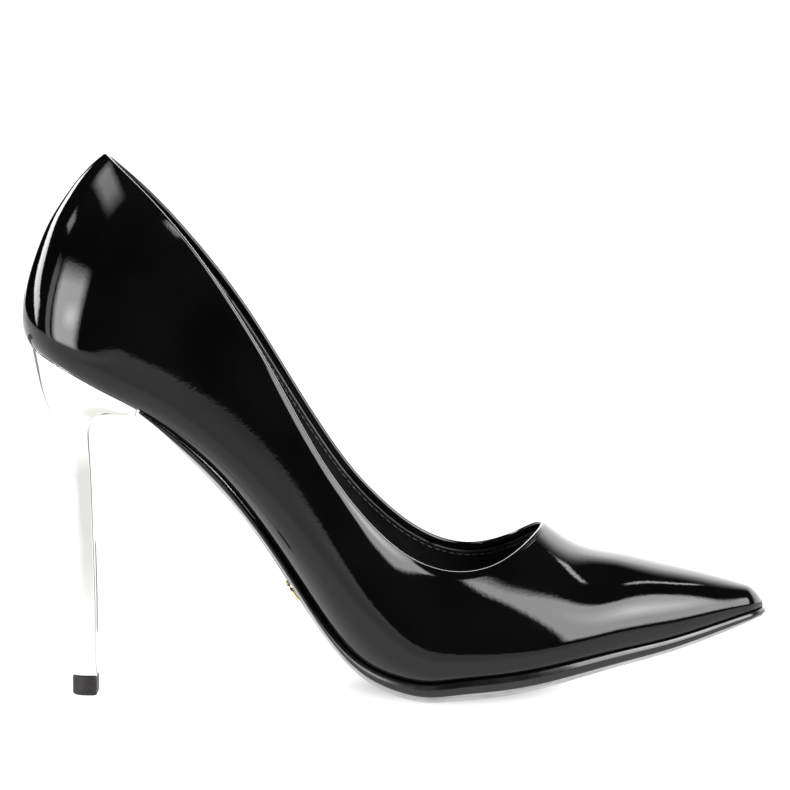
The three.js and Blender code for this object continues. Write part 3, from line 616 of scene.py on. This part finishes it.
# ---- Linings and stiffeners ----
def layer_body(columns_by_side, depths, first, last, low, high, rows):
    """Closed body of a layer between two depths, over a range of columns and shares of the wall."""
    points, faces, start = [], [], 0
    shares = low + (high - low) * np.linspace(0, 1, rows)
    for side, columns in columns_by_side.items():
        stop = columns.count if last is None else last
        layers = [columns.wall(shares, depth)[first:stop] for depth in depths]
        if low == 0:
            margins = [columns.margin(np.linspace(0.35, 1, 4), depth)[first:stop, :-1] for depth in depths]
            layers = [np.concatenate(pair, axis=1) for pair in zip(margins, layers)]
        columns_count, rows_count = layers[0].shape[:2]
        ring = np.concatenate([layers[0], layers[1][:, ::-1]], axis=1)
        points.append(ring.reshape(-1, 3))
        faces += grid_faces(columns_count, 2 * rows_count, start=start, closed_columns=True)
        ends = [0] if stop == columns.count else [0, columns_count - 1]
        for end in ends:
            base = start + end * 2 * rows_count
            for j in range(rows_count - 1):
                other = 2 * rows_count - 1 - j
                faces.append((base + j, base + j + 1, base + other - 1, base + other))
        start += ring.shape[0] * ring.shape[1]
    return np.concatenate(points), faces


def column_near(columns, x):
    return int(np.argmin(np.abs(columns.low - x) + columns.turn * 100))


LINING_INSET, LINING_DEPTHS = 2.3, (2.1, 2.65)
STIFF_INSET, STIFF_DEPTHS = 3.4, (1.2, 1.7)
lining_columns = both_sides(lambda side: Columns(side, LINING_INSET, 40, 90, 26))
vamp_end = column_near(lining_columns[LATERAL], VAMP_LINING_X)
grip_start = column_near(lining_columns[LATERAL], GRIP_X)
toe_start = column_near(lining_columns[LATERAL], 101)
for name, first, last, sides in (
    ("vamp_lining", toe_start, vamp_end + 1, (LATERAL, MEDIAL)),
    ("quarter_lining_lateral", vamp_end, grip_start + 1, (LATERAL,)),
    ("quarter_lining_medial", vamp_end, grip_start + 1, (MEDIAL,)),
    ("heel_grip", grip_start, None, (LATERAL, MEDIAL)),
):
    chosen = {side: lining_columns[side] for side in sides}
    points, faces = layer_body(chosen, LINING_DEPTHS, first, last, 0.0, 1.0, 40)
    place_piece(mesh_object("fine_" + name, points, faces, CLOSE), LINING, "lining", name)

stiff_columns = both_sides(lambda side: Columns(side, STIFF_INSET, 30, 60, 20))
counter_start = column_near(stiff_columns[LATERAL], -58)
puff = [column_near(stiff_columns[LATERAL], x) for x in (96, 66)]
for name, look, slot, first, last, low, high in (
    ("toe_puff", FIBRE, "stiffener", puff[0], puff[1], 0.1, 1.0),
    ("heel_counter", FIBRE, "stiffener", counter_start, None, 0.0, 0.78),
    ("topline_tape", TEXTILE, "textile", stiff_columns[LATERAL].toe, None, 0.86, 1.0),
):
    points, faces = layer_body(stiff_columns, STIFF_DEPTHS, first, last, low, high, 16)
    place_piece(mesh_object("fine_" + name, points, faces, CLOSE), look, slot, name)


# Stitches run along the top of the linings, 1.3 mm below their edge.
def stitches(name, ring, normal, pitch, length, radius, lift):
    closed = np.concatenate([ring, ring[:1]])
    distance = running_length(closed)
    count = int(distance[-1] / pitch)
    bodies = []

    def at(s):
        return np.stack([np.interp(s % distance[-1], distance, closed[:, k]) for k in range(3)], -1)

    closed_normal = np.concatenate([normal, normal[:1]])

    def out(s):
        parts = [np.interp(s % distance[-1], distance, closed_normal[:, k]) for k in range(3)]
        return unit(np.stack(parts, -1))

    for k in range(count):
        s = k * distance[-1] / count + np.linspace(-0.5, 0.5, 7) * length
        arch = np.cos(np.linspace(-QUARTER, QUARTER, 7))
        path = at(s) + out(s) * ((arch - 0.6) * radius + lift)[:, None]
        bodies.append(tube(path, radius * (0.55 + 0.45 * arch), 6))
    return joined(name, bodies)


ring, normal, _ = edge_frame(LINING_INSET + 1.3)
place_piece(stitches("topline_stitches", ring, -normal, 2.5, 2.0, 0.2, 2.68), THREAD, "lining")


# ---- Bottom pieces ----
def stations(front, back, step=1.6):
    front_part = TIP_X - 0.15 - np.linspace(0, 1, 14) ** 2 * 8
    x = np.concatenate([front_part, np.arange(TIP_X - 9.5, HINGE_X, -step), [HINGE_X]])
    turn = np.zeros(len(x))
    if back <= HINGE_X:
        turns = QUARTER * np.linspace(0, 1, 30)[1:]
        x, turn = np.concatenate([x, np.full(29, HINGE_X)]), np.concatenate([turn, turns])
    keep = (x <= front) & ((x >= back) | (turn > 0))
    return x[keep], turn[keep]


def wall_inset(x, height, depth):
    step = 0.4
    here = section(x, angle_at(x, height))[1]
    above = section(x, angle_at(x, height + step))[1]
    ahead = section(x + step, angle_at(x + step, height))[1]
    slant = np.sqrt(1 + ((above - here) / step) ** 2 + ((ahead - here) / step) ** 2)
    return seam_half(x) * tip_rounding(x) - here + depth * slant


def bottom_slab(name, front, back, low, high, inset, across=24, edge=0.25):
    """A board along the bottom of the last with rounded upper edges."""
    x, turn = stations(front, back)
    t = np.linspace(-1, 1, across + 1)
    lower, upper = low(x), high(x)
    gap = inset(x)
    rows = []
    for share, extra in ((0.0, 0.0), (0.6, 0.0), (0.85, edge * 0.3), (1.0, edge)):
        rows.append((lower + (upper - lower) * share, gap + extra))
    left = [bottom_point(x, turn, -1.0, r, g) for r, g in rows]
    right = [bottom_point(x, turn, 1.0, r, g) for r, g in rows]
    top = [bottom_point(x, turn, v, upper, gap + edge) for v in t[1:-1]]
    below = [bottom_point(x, turn, v, lower, gap) for v in t[1:-1]]
    ring = np.stack(left + top + right[::-1] + below[::-1], axis=1)
    return closed_strip(name, ring)


def constant(value):
    return lambda x: np.full(np.shape(x), float(value))


def sock_height(x):
    on_board = 1 - smootherstep(x, -10, 10)
    on_pad = 1 - smootherstep(x, -72, -56)
    return 4.8 + 1.5 * on_board + 2.6 * on_pad


def board_inset(x):
    return wall_inset(x, 3.2, 2.6) + 0.5


place_piece(bottom_slab("fine_insole_board", 103, HINGE_X, constant(3.2), constant(4.4), board_inset),
            FIBRE, "stiffener", "insole_board")
place_piece(bottom_slab("fine_rear_board", -10, HINGE_X, constant(4.8), constant(5.9), board_inset),
            FIBRE, "stiffener", "rear_board")
pad = bottom_slab("fine_heel_pad", -66, HINGE_X, constant(6.3), constant(8.3),
                  lambda x: board_inset(x) + 3, edge=1.4)
place_piece(pad, FOAM, "foam", "heel_pad")
place_piece(bottom_slab("fine_insock", 103, HINGE_X, sock_height, lambda x: sock_height(x) + 0.8,
                        lambda x: board_inset(x) - 0.2, across=40), SOCK, "lining", "insock")
place_piece(bottom_slab("fine_forefoot_filler", 88, -4, constant(0.3), constant(2.6), constant(9.6)),
            FELT, "textile", "forefoot_filler")
place_piece(bottom_slab("fine_steel_shank", -10, -82, constant(1.4), constant(2.7),
                        lambda x: seam_half(x) - 5.5, 8), STEEL, "steel", "steel_shank")


# ---- Outsole: a rounded edge that stands a little proud of the upper, and a crowned underside ----
SOLE_GAP, EDGE_THICKNESS = 0.4, 1.9  # how far the sole lies under the last, and how thick its edge profile is
FULL_PUSH = 1.6  # where the edge is thinner than this, it stands out less
# The edge from its hidden inner corner down to the underside: distance outwards and depth under the last.
EDGE_PROFILE = [
    (-1.6, 0.35), (-0.5, 0.38), (0.1, 0.42), (0.36, 0.46), (0.46, 0.54), (0.62, 0.78), (0.77, 1.02),
    (0.82, 1.25), (0.82, 1.7), (0.77, 1.95), (0.62, 2.13), (0.38, 2.25), (0.0, 2.3),
]


def build_outsole():
    x, turn = stations(TIP_X, BREAST_X, 1.2)
    x = np.concatenate([[TIP_X - 0.02], x[x > BREAST_X + 0.6], [BREAST_X]])
    half = seam_half(x) * tip_rounding(x)
    edges = {}
    for side in (LATERAL, MEDIAL):
        outline = np.stack([x, centre_line(x) + side * half], -1)
        along = unit(np.gradient(outline, axis=0))
        out = np.stack([along[:, 1], -along[:, 0]], -1)
        out *= np.where((out[:, 1:2] * side) < 0, -1, 1)
        edges[side] = (outline, out)
    edge = sole_edge(x)
    rows = {side: [] for side in edges}
    foot, up, _ = plane(x)
    for side, (outline, out) in edges.items():
        for push, drop in EDGE_PROFILE:
            depth = drop + max(0, drop - SOLE_GAP) * (edge / EDGE_THICKNESS - 1)
            point = foot - up * depth[:, None]
            place = outline + out * (push * np.clip(edge / FULL_PUSH, 0.2, 1))[:, None]
            point[:, 0] += place[:, 0] - x
            point[:, 1] = place[:, 1]
            rows[side].append(point)
    inner = np.linspace(-1, 1, 33)[1:-1]
    top = -SOLE_GAP
    under, over = [], []
    left, right = rows[LATERAL][-1], rows[MEDIAL][-1]
    for t in inner:
        share = (1 + t) / 2
        base = left * (1 - share) + right * share
        drop = (crown(x) + sole_swell(x)) * (1 - t * t)
        point = base - up * drop[:, None]
        point[:, 2] = np.maximum(point[:, 2], 0.0)
        under.append(point)
        over.append(bottom_point(x, 0 * x, t, top))
    ring = np.stack(rows[LATERAL] + under + rows[MEDIAL][::-1] + over[::-1], axis=1)
    return place_piece(closed_strip("leather_outsole", ring), SOLE, "sole", "outsole")


build_outsole()


# ---- Stud ----
def turned_body(name, profile, base, direction, steps=64):
    axis = Vector(direction).normalized()
    side = axis.orthogonal().normalized()
    other = axis.cross(side)
    turn = np.arange(steps) * 2 * math.pi / steps
    ring = []
    for radius, height in profile:
        centre = np.array(base) + np.array(axis) * height
        spoke = np.cos(turn)[:, None] * np.array(side) + np.sin(turn)[:, None] * np.array(other)
        ring.append(centre + radius * spoke)
    return closed_strip(name, np.stack(ring))


STUD_X, STUD_SINK = -28.6, 0.1
# The stud from its pin to the middle of its face: radius and height over the underside of the sole.
STUD_PROFILE = [
    (0.05, 2.5), (1.1, 2.5), (1.1, 0), (3.6, 0), (3.8, -0.12), (3.85, -0.4), (3.85, -0.9), (3.76, -1.15),
    (3.5, -1.36), (3.2, -1.44), (3.0, -1.42), (2.85, -1.40), (2.4, -1.52), (1.6, -1.64), (0.8, -1.7),
    (0.05, -1.72),
]


def build_stud():
    ahead, base, behind = (bottom_point(STUD_X + d, 0.0, 0.0, -SOLE_GAP) for d in (4, 0, -4))
    along = unit(ahead - behind)
    axis = np.array([-along[2], 0, along[0]])
    _, up, _ = plane(np.float64(STUD_X))
    under = -float(sole_edge(STUD_X) + sole_swell(STUD_X)) * abs(float(up @ axis)) + STUD_SINK
    profile = [(radius, under + height) for radius, height in STUD_PROFILE]
    made = turned_body("gold_stud", profile, base, axis)
    return place_piece(made, GOLD, "stud", "brass_stud")


build_stud()

# ---- Heel ----
HEEL_BREAST_X = -77.4  # front edge of the seat
HEEL_GAP, HEEL_INSET = 0.25, 0.3  # how far the seat lies under the last, and inside its outline
# Slices from the seat down: back edge and front edge (x, z), and half width.
HEEL_SLICES = [
    ((-110.9, 104.5), (-77.9, 88.8), 22.6), ((-109.9, 100.0), (-79.3, 87.5), 20.0),
    ((-108.6, 95.0), (-83.5, 87.6), 16.4), ((-107.1, 90.5), (-89.0, 87.4), 12.6),
    ((-105.9, 86.5), (-92.4, 85.2), 9.6), ((-104.4, 81.0), (-93.6, 80.6), 7.2),
    ((-102.9, 73.0), (-93.4, 73.0), 5.6), ((-101.6, 60.0), (-93.0, 60.0), 4.8),
    ((-100.7, 45.0), (-92.7, 45.0), 4.3), ((-100.3, 25.0), (-92.4, 25.0), 4.1),
    ((-100.0, 9.0), (-92.2, 9.0), 4.1), ((-100.1, 6.3), (-92.0, 6.3), 4.2),
]


def d_outline(count, corner=0.14, straight=0.32):
    """One side of a D from the middle of the breast to the back: shares of the length and half width."""
    front = count // 4
    points = []
    for k in range(front):
        points.append((0.0, 0.86 * k / front))
    for k in range(count - front + 1):
        s = k / (count - front)
        if s < 0.22:
            a = QUARTER * s / 0.22
            points.append((corner * (1 - math.cos(a)) * 0.9, 0.86 + 0.14 * math.sin(a)))
        elif s < 0.4:
            share = (s - 0.22) / 0.18
            points.append((corner * 0.9 + (straight - corner * 0.9) * share, 1.0))
        else:
            a = QUARTER * (s - 0.4) / 0.6
            points.append((straight + (1 - straight) * math.sin(a), math.cos(a)))
    return np.array(points)


def full_ring(side_points):
    """Mirrors one side's x, y, z points to the other side."""
    mirrored = side_points[-2:0:-1] * np.array([1, -1, 1])
    return np.concatenate([side_points, mirrored])


def build_heel():
    outline = d_outline(96)
    slices = np.array([(b[0], b[1], f[0], f[1], h) for b, f, h in HEEL_SLICES])
    level = running_length((slices[:, :2] + slices[:, 2:4]) / 2)
    curves = [Spline(np.stack([level, slices[:, k]], -1)) for k in range(5)]
    # The seat follows the bottom of the last, across the breast, along the side and around the back.
    cup = np.linspace(0, QUARTER, 80)
    seat = np.concatenate([
        bottom_point(HEEL_BREAST_X, 0.0, np.linspace(0, 0.985, 30), -HEEL_GAP, HEEL_INSET),
        bottom_point(np.linspace(HEEL_BREAST_X - 0.2, HINGE_X, 30), 0.0, 1.0, -HEEL_GAP, HEEL_INSET),
        bottom_point(HINGE_X, cup[1:], 1.0, -HEEL_GAP, HEEL_INSET),
    ])
    seat[:, 1] -= np.interp(seat[:, 0], [-88, -77], [0, float(centre_line(-77.0))])
    length = running_length(seat)
    away, aside = outline.T

    def slice_ring(bx, bz, fx, fz, half):
        return np.stack([fx + (bx - fx) * away, half * aside, fz + (bz - fz) * away], -1)

    span = running_length(slice_ring(*slices[0]))
    at = span / span[-1] * length[-1]
    top = np.stack([np.interp(at, length, seat[:, k]) for k in range(3)], -1)
    rings = []
    for s in np.linspace(0, level[-1], 150):
        ring = slice_ring(*(float(curve(s)) for curve in curves))
        # The breast is a little hollow below the seat.
        ring[:, 0] -= 0.35 * (1 - (aside / 0.86).clip(0, 1) ** 2) * (away < 0.02) * min(1, s / 20)
        rings.append(ring)
    blend = []
    for share in np.linspace(0, 1, 10)[:-1]:
        ease = share * share * (3 - 2 * share)
        blend.append(top * (1 - ease) + rings[0] * ease)
    grid = np.stack([full_ring(r) for r in blend + rings])
    made = closed_strip("plated_heel", grid)
    bevel_ends(made)
    return place_piece(made, CHROME, "plating", "heel")


def bevel_ends(made, width=0.00018):
    modifier = made.modifiers.new("edges", "BEVEL")
    modifier.width, modifier.segments, modifier.limit_method = width, 2, "ANGLE"
    modifier.angle_limit = math.radians(50)


TIP_BACK, TIP_FRONT, TIP_HALF = -100.0, -92.2, 4.3
# The tip from the ground up: height and how far its edge is rounded in.
TIP_LEVELS = [
    (0.0, 0.55), (0.12, 0.28), (0.35, 0.1), (0.7, 0.02), (1.5, 0.0), (3.0, 0.0), (4.6, 0.0), (5.4, 0.03),
    (5.75, 0.12), (6.0, 0.35),
]


def build_tip():
    away, aside = d_outline(72, corner=0.16).T
    rings = []
    for z, inset in TIP_LEVELS:
        x = TIP_FRONT - inset + (TIP_BACK - TIP_FRONT + 2 * inset) * away
        ring = np.stack([x, (TIP_HALF - inset) * aside, np.full(len(away), z)], -1)
        rings.append(full_ring(ring))
    made = closed_strip("rubber_tip", np.stack(rings))
    return place_piece(made, RUBBER, "tip", "top_piece", body="heel_tip")


build_heel()
build_tip()

# The metal parts inside the shoe keep their own shapes.
for name in ("heel_tube", "top_piece_pin", "heel_screw", "heel_nail_1", "heel_nail_2", "heel_nail_3",
             "heel_nail_4", "shank_rivet_rear", "shank_rivet_front"):
    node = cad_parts[name]
    node.data.materials.clear()
    node.data.materials.append(STEEL)


# ---- Studio ----
def fading(tree, source, edge, soft):
    """1 in the middle of a card and 0 at its edge, over the last part of its half size."""
    size = add_node(tree, "ShaderNodeMath", operation="ABSOLUTE")
    tree.links.new(source, size.inputs[0])
    return ranged(tree, size.outputs["Value"], 1.0, 0.0, edge * (1 - soft), edge)


def stage_card(name, middle, facing, width, height, strength, soft, roll=0.0):
    """A card with soft edges that the camera doesn't see: bright ones light the shoe and show in its
    reflections, dark ones show in its reflections only."""
    mesh = bpy.data.meshes.new(name)
    w, h = width / 2, height / 2
    mesh.from_pydata([(-w, -h, 0), (w, -h, 0), (w, h, 0), (-w, h, 0)], [], [(0, 1, 2, 3)])
    card = bpy.data.objects.new(name, mesh)
    bpy.context.scene.collection.objects.link(card)
    card.location = middle
    card.rotation_mode = "QUATERNION"
    turned = Quaternion((0, 0, 1), roll)
    card.rotation_quaternion = (Vector(facing) - Vector(middle)).to_track_quat("Z", "Y") @ turned
    look = bpy.data.materials.new(name)
    look.use_nodes = True
    tree = look.node_tree
    tree.nodes.clear()
    light = add_node(tree, "ShaderNodeEmission", Strength=strength)
    place = add_node(tree, "ShaderNodeTexCoord")
    split = add_node(tree, "ShaderNodeSeparateXYZ")
    tree.links.new(place.outputs["Object"], split.inputs["Vector"])
    both = add_node(tree, "ShaderNodeMath", operation="MULTIPLY")
    for k, (axis, edge) in enumerate((("X", w), ("Y", h))):
        tree.links.new(fading(tree, split.outputs[axis], edge, soft), both.inputs[k])
    clear = add_node(tree, "ShaderNodeBsdfTransparent")
    mixed = add_node(tree, "ShaderNodeMixShader")
    tree.links.new(both.outputs["Value"], mixed.inputs["Fac"])
    tree.links.new(clear.outputs["BSDF"], mixed.inputs[1])
    tree.links.new(light.outputs["Emission"], mixed.inputs[2])
    output = add_node(tree, "ShaderNodeOutputMaterial")
    tree.links.new(mixed.outputs["Shader"], output.inputs["Surface"])
    mesh.materials.append(look)
    card.visible_camera = False
    card.visible_shadow = False
    card.visible_diffuse = strength > 1


def area_light(name, middle, facing, size, power):
    data = bpy.data.lights.new(name, "AREA")
    data.shape, data.size, data.energy = "SQUARE", size, power
    lamp = bpy.data.objects.new(name, data)
    bpy.context.scene.collection.objects.link(lamp)
    lamp.location = middle
    lamp.rotation_mode = "QUATERNION"
    lamp.rotation_quaternion = (Vector(middle) - Vector(facing)).to_track_quat("Z", "Y")
    lamp.visible_camera = False
    lamp.visible_glossy = False


FLOOR_SIZE, FLOOR_DROP = 12.0, 0.0002
# The floor's glow, the glow left in its painted contact shadow under the ball, and in its painted shade in
# front of the heel.
FLOOR_GLOW, FLOOR_SHADE, FLOOR_FRONT_SHADE = 0.98, 0.12, 0.56


def build_floor():
    mesh = bpy.data.meshes.new("studio_floor")
    corners = [(x * FLOOR_SIZE, y * FLOOR_SIZE, 0) for x, y in ((-1, -1), (1, -1), (1, 1), (-1, 1))]
    mesh.from_pydata(corners, [], [(0, 1, 2, 3)])
    floor = bpy.data.objects.new("studio_floor", mesh)
    bpy.context.scene.collection.objects.link(floor)
    floor.location = (0, 0, -FLOOR_DROP)
    look, tree, shader = material("floor_paper", (0.16, 0.16, 0.16), 0.9)
    shader.inputs["Specular IOR Level"].default_value = 0.0
    shader.inputs["Emission Color"].default_value = (1, 1, 1, 1)
    # Bright everywhere but under the ball, where the sole stands on the paper and a contact shadow is painted
    # into the glow, and in front of the heel, where a painted zone of shade gives the plated stem its grey
    # reflections.
    place = tree.nodes.new("ShaderNodeTexCoord")
    near = add_node(tree, "ShaderNodeMapping")
    near.inputs["Location"].default_value = (-0.52, -0.5, 0)
    near.inputs["Scale"].default_value = (29, 30, 0)
    tree.links.new(place.outputs["Object"], near.inputs["Vector"])
    length = add_node(tree, "ShaderNodeVectorMath", operation="LENGTH")
    tree.links.new(near.outputs["Vector"], length.inputs[0])
    # Painted contact shadow: the glow falls to FLOOR_SHADE in an ellipse under the ball.
    shade = ranged(tree, length.outputs["Value"], FLOOR_SHADE, FLOOR_GLOW, 0.4, 1.05)
    split = tree.nodes.new("ShaderNodeSeparateXYZ")
    tree.links.new(place.outputs["Object"], split.inputs["Vector"])
    # Painted shade on the floor in front of the heel: the glow falls to the front shade level ahead of it and
    # towards the toe side.
    ahead = ranged(tree, split.outputs["Y"], FLOOR_FRONT_SHADE, FLOOR_GLOW, -0.25, -0.145)
    shade_beside = ranged(tree, split.outputs["X"], FLOOR_GLOW, FLOOR_FRONT_SHADE, -0.30, -0.20)
    front_shade = add_node(tree, "ShaderNodeMath", operation="MAXIMUM")
    tree.links.new(ahead, front_shade.inputs[0])
    tree.links.new(shade_beside, front_shade.inputs[1])
    least = add_node(tree, "ShaderNodeMath", operation="MINIMUM")
    tree.links.new(shade, least.inputs[0])
    tree.links.new(front_shade.outputs["Value"], least.inputs[1])
    tree.links.new(least.outputs["Value"], shader.inputs["Emission Strength"])
    mesh.materials.append(look)


def build_world():
    world = bpy.data.worlds.new("studio")
    bpy.context.scene.world = world
    world.use_nodes = True
    tree = world.node_tree
    tree.nodes.clear()
    place = tree.nodes.new("ShaderNodeTexCoord")
    split = tree.nodes.new("ShaderNodeSeparateXYZ")
    tree.links.new(place.outputs["Generated"], split.inputs["Vector"])
    # A bright wall behind the shoe. It reaches further round on the toe side, and fades out between 38 and
    # 53 degrees up.
    lean = add_node(tree, "ShaderNodeMath", operation="MULTIPLY_ADD")
    tree.links.new(split.outputs["X"], lean.inputs[0])
    lean.inputs[1].default_value = 0.5
    tree.links.new(split.outputs["Y"], lean.inputs[2])
    back = ranged(tree, lean.outputs["Value"], 0.0, 4.2, 0.60, 0.76)
    low = ranged(tree, split.outputs["Z"], 1.0, 0.0, 0.62, 0.80)
    wall = add_node(tree, "ShaderNodeMath", operation="MULTIPLY")
    tree.links.new(back, wall.inputs[0])
    tree.links.new(low, wall.inputs[1])
    seen = tree.nodes.new("ShaderNodeLightPath")
    either = add_node(tree, "ShaderNodeMix", data_type="FLOAT")
    tree.links.new(seen.outputs["Is Camera Ray"], either.inputs["Factor"])
    tree.links.new(wall.outputs["Value"], either.inputs["A"])
    either.inputs["B"].default_value = 1.0
    background = tree.nodes.new("ShaderNodeBackground")
    background.inputs["Color"].default_value = (1, 1, 1, 1)
    tree.links.new(either.outputs["Result"], background.inputs["Strength"])
    output = tree.nodes.new("ShaderNodeOutputWorld")
    tree.links.new(background.outputs["Background"], output.inputs["Surface"])


SHOE_MIDDLE = Vector((0, 0, 0.1))
build_world()
build_floor()
area_light("top_light", (0.0, 0.25, 2.4), (0, 0, 0), 2.2, 18)
area_light("front_light", (0.0, -2.2, 2.2), (0, 0, 0.05), 1.6, 12)
# Softboxes around the shoe: azimuth from the front towards the toe side, elevation, width and height in
# degrees, then strength, distance and softness.
for name, azimuth, elevation, wide, high, strength, distance, soft in (
    ("softbox_left", -53, 12, 40, 34, 11.0, 2.0, 0.4),
    ("softbox_left_edge", -80, 10, 10, 34, 2.2, 2.05, 0.3),
    ("softbox_left_core", -46, 13, 22, 10, 17.0, 1.9, 0.8),
    ("softbox_left_high", -88, 37, 12, 7, 4.0, 1.95, 0.5),
    ("softbox_above_heel", -66, 62, 46, 20, 5.0, 2.0, 0.6),
    ("softbox_right", 53, 30, 46, 54, 9.0, 2.0, 0.15),
    ("softbox_right_core", 60, 34, 34, 30, 17.0, 1.9, 0.95),
):
    a = math.radians(azimuth)
    e = math.radians(elevation)
    away = Vector((math.sin(a) * math.cos(e), -math.cos(a) * math.cos(e), math.sin(e))) * distance
    size = [2 * distance * math.tan(math.radians(v / 2)) for v in (wide, high)]
    stage_card(name, away + SHOE_MIDDLE, SHOE_MIDDLE, *size, strength, soft)
# Two strips, turned in their own plane: a thin one for the line along the ridge of the vamp, and one behind.
stage_card("strip_ridge", (0.990, 0.503, 1.75), (0.08, -0.015, 0.036), 0.62, 0.10, 7.0, 0.3, math.radians(61))
stage_card("strip_behind", (-1.64, 0.985, 0.68), SHOE_MIDDLE, 1.75, 0.40, 9.0, 0.2, math.radians(28))
# Low dark cards behind the shoe, whose reflections draw the thin lines along the stem.
for name, x, y, width in (("flag_left", -0.34, 0.38, 0.32), ("flag_right", -0.033, 0.077, 0.073)):
    stage_card(name, (x, y, 0.018), (-0.096, 0, 0.018), width, 0.034, 0.3, 0.1)

camera_data = bpy.data.cameras.new("camera")
camera = bpy.data.objects.new("camera", camera_data)
bpy.context.scene.collection.objects.link(camera)
camera_data.lens, camera_data.sensor_width = 133.84, 36
camera_data.clip_start, camera_data.clip_end = 0.02, 50
camera.location = (0, -0.9, 0.175)
camera.rotation_mode = "QUATERNION"
camera.rotation_quaternion = (Vector((0, 0, 0.093)) - camera.location).to_track_quat("-Z", "Y")
bpy.context.scene.camera = camera
bpy.context.scene.view_settings.view_transform = "Standard"
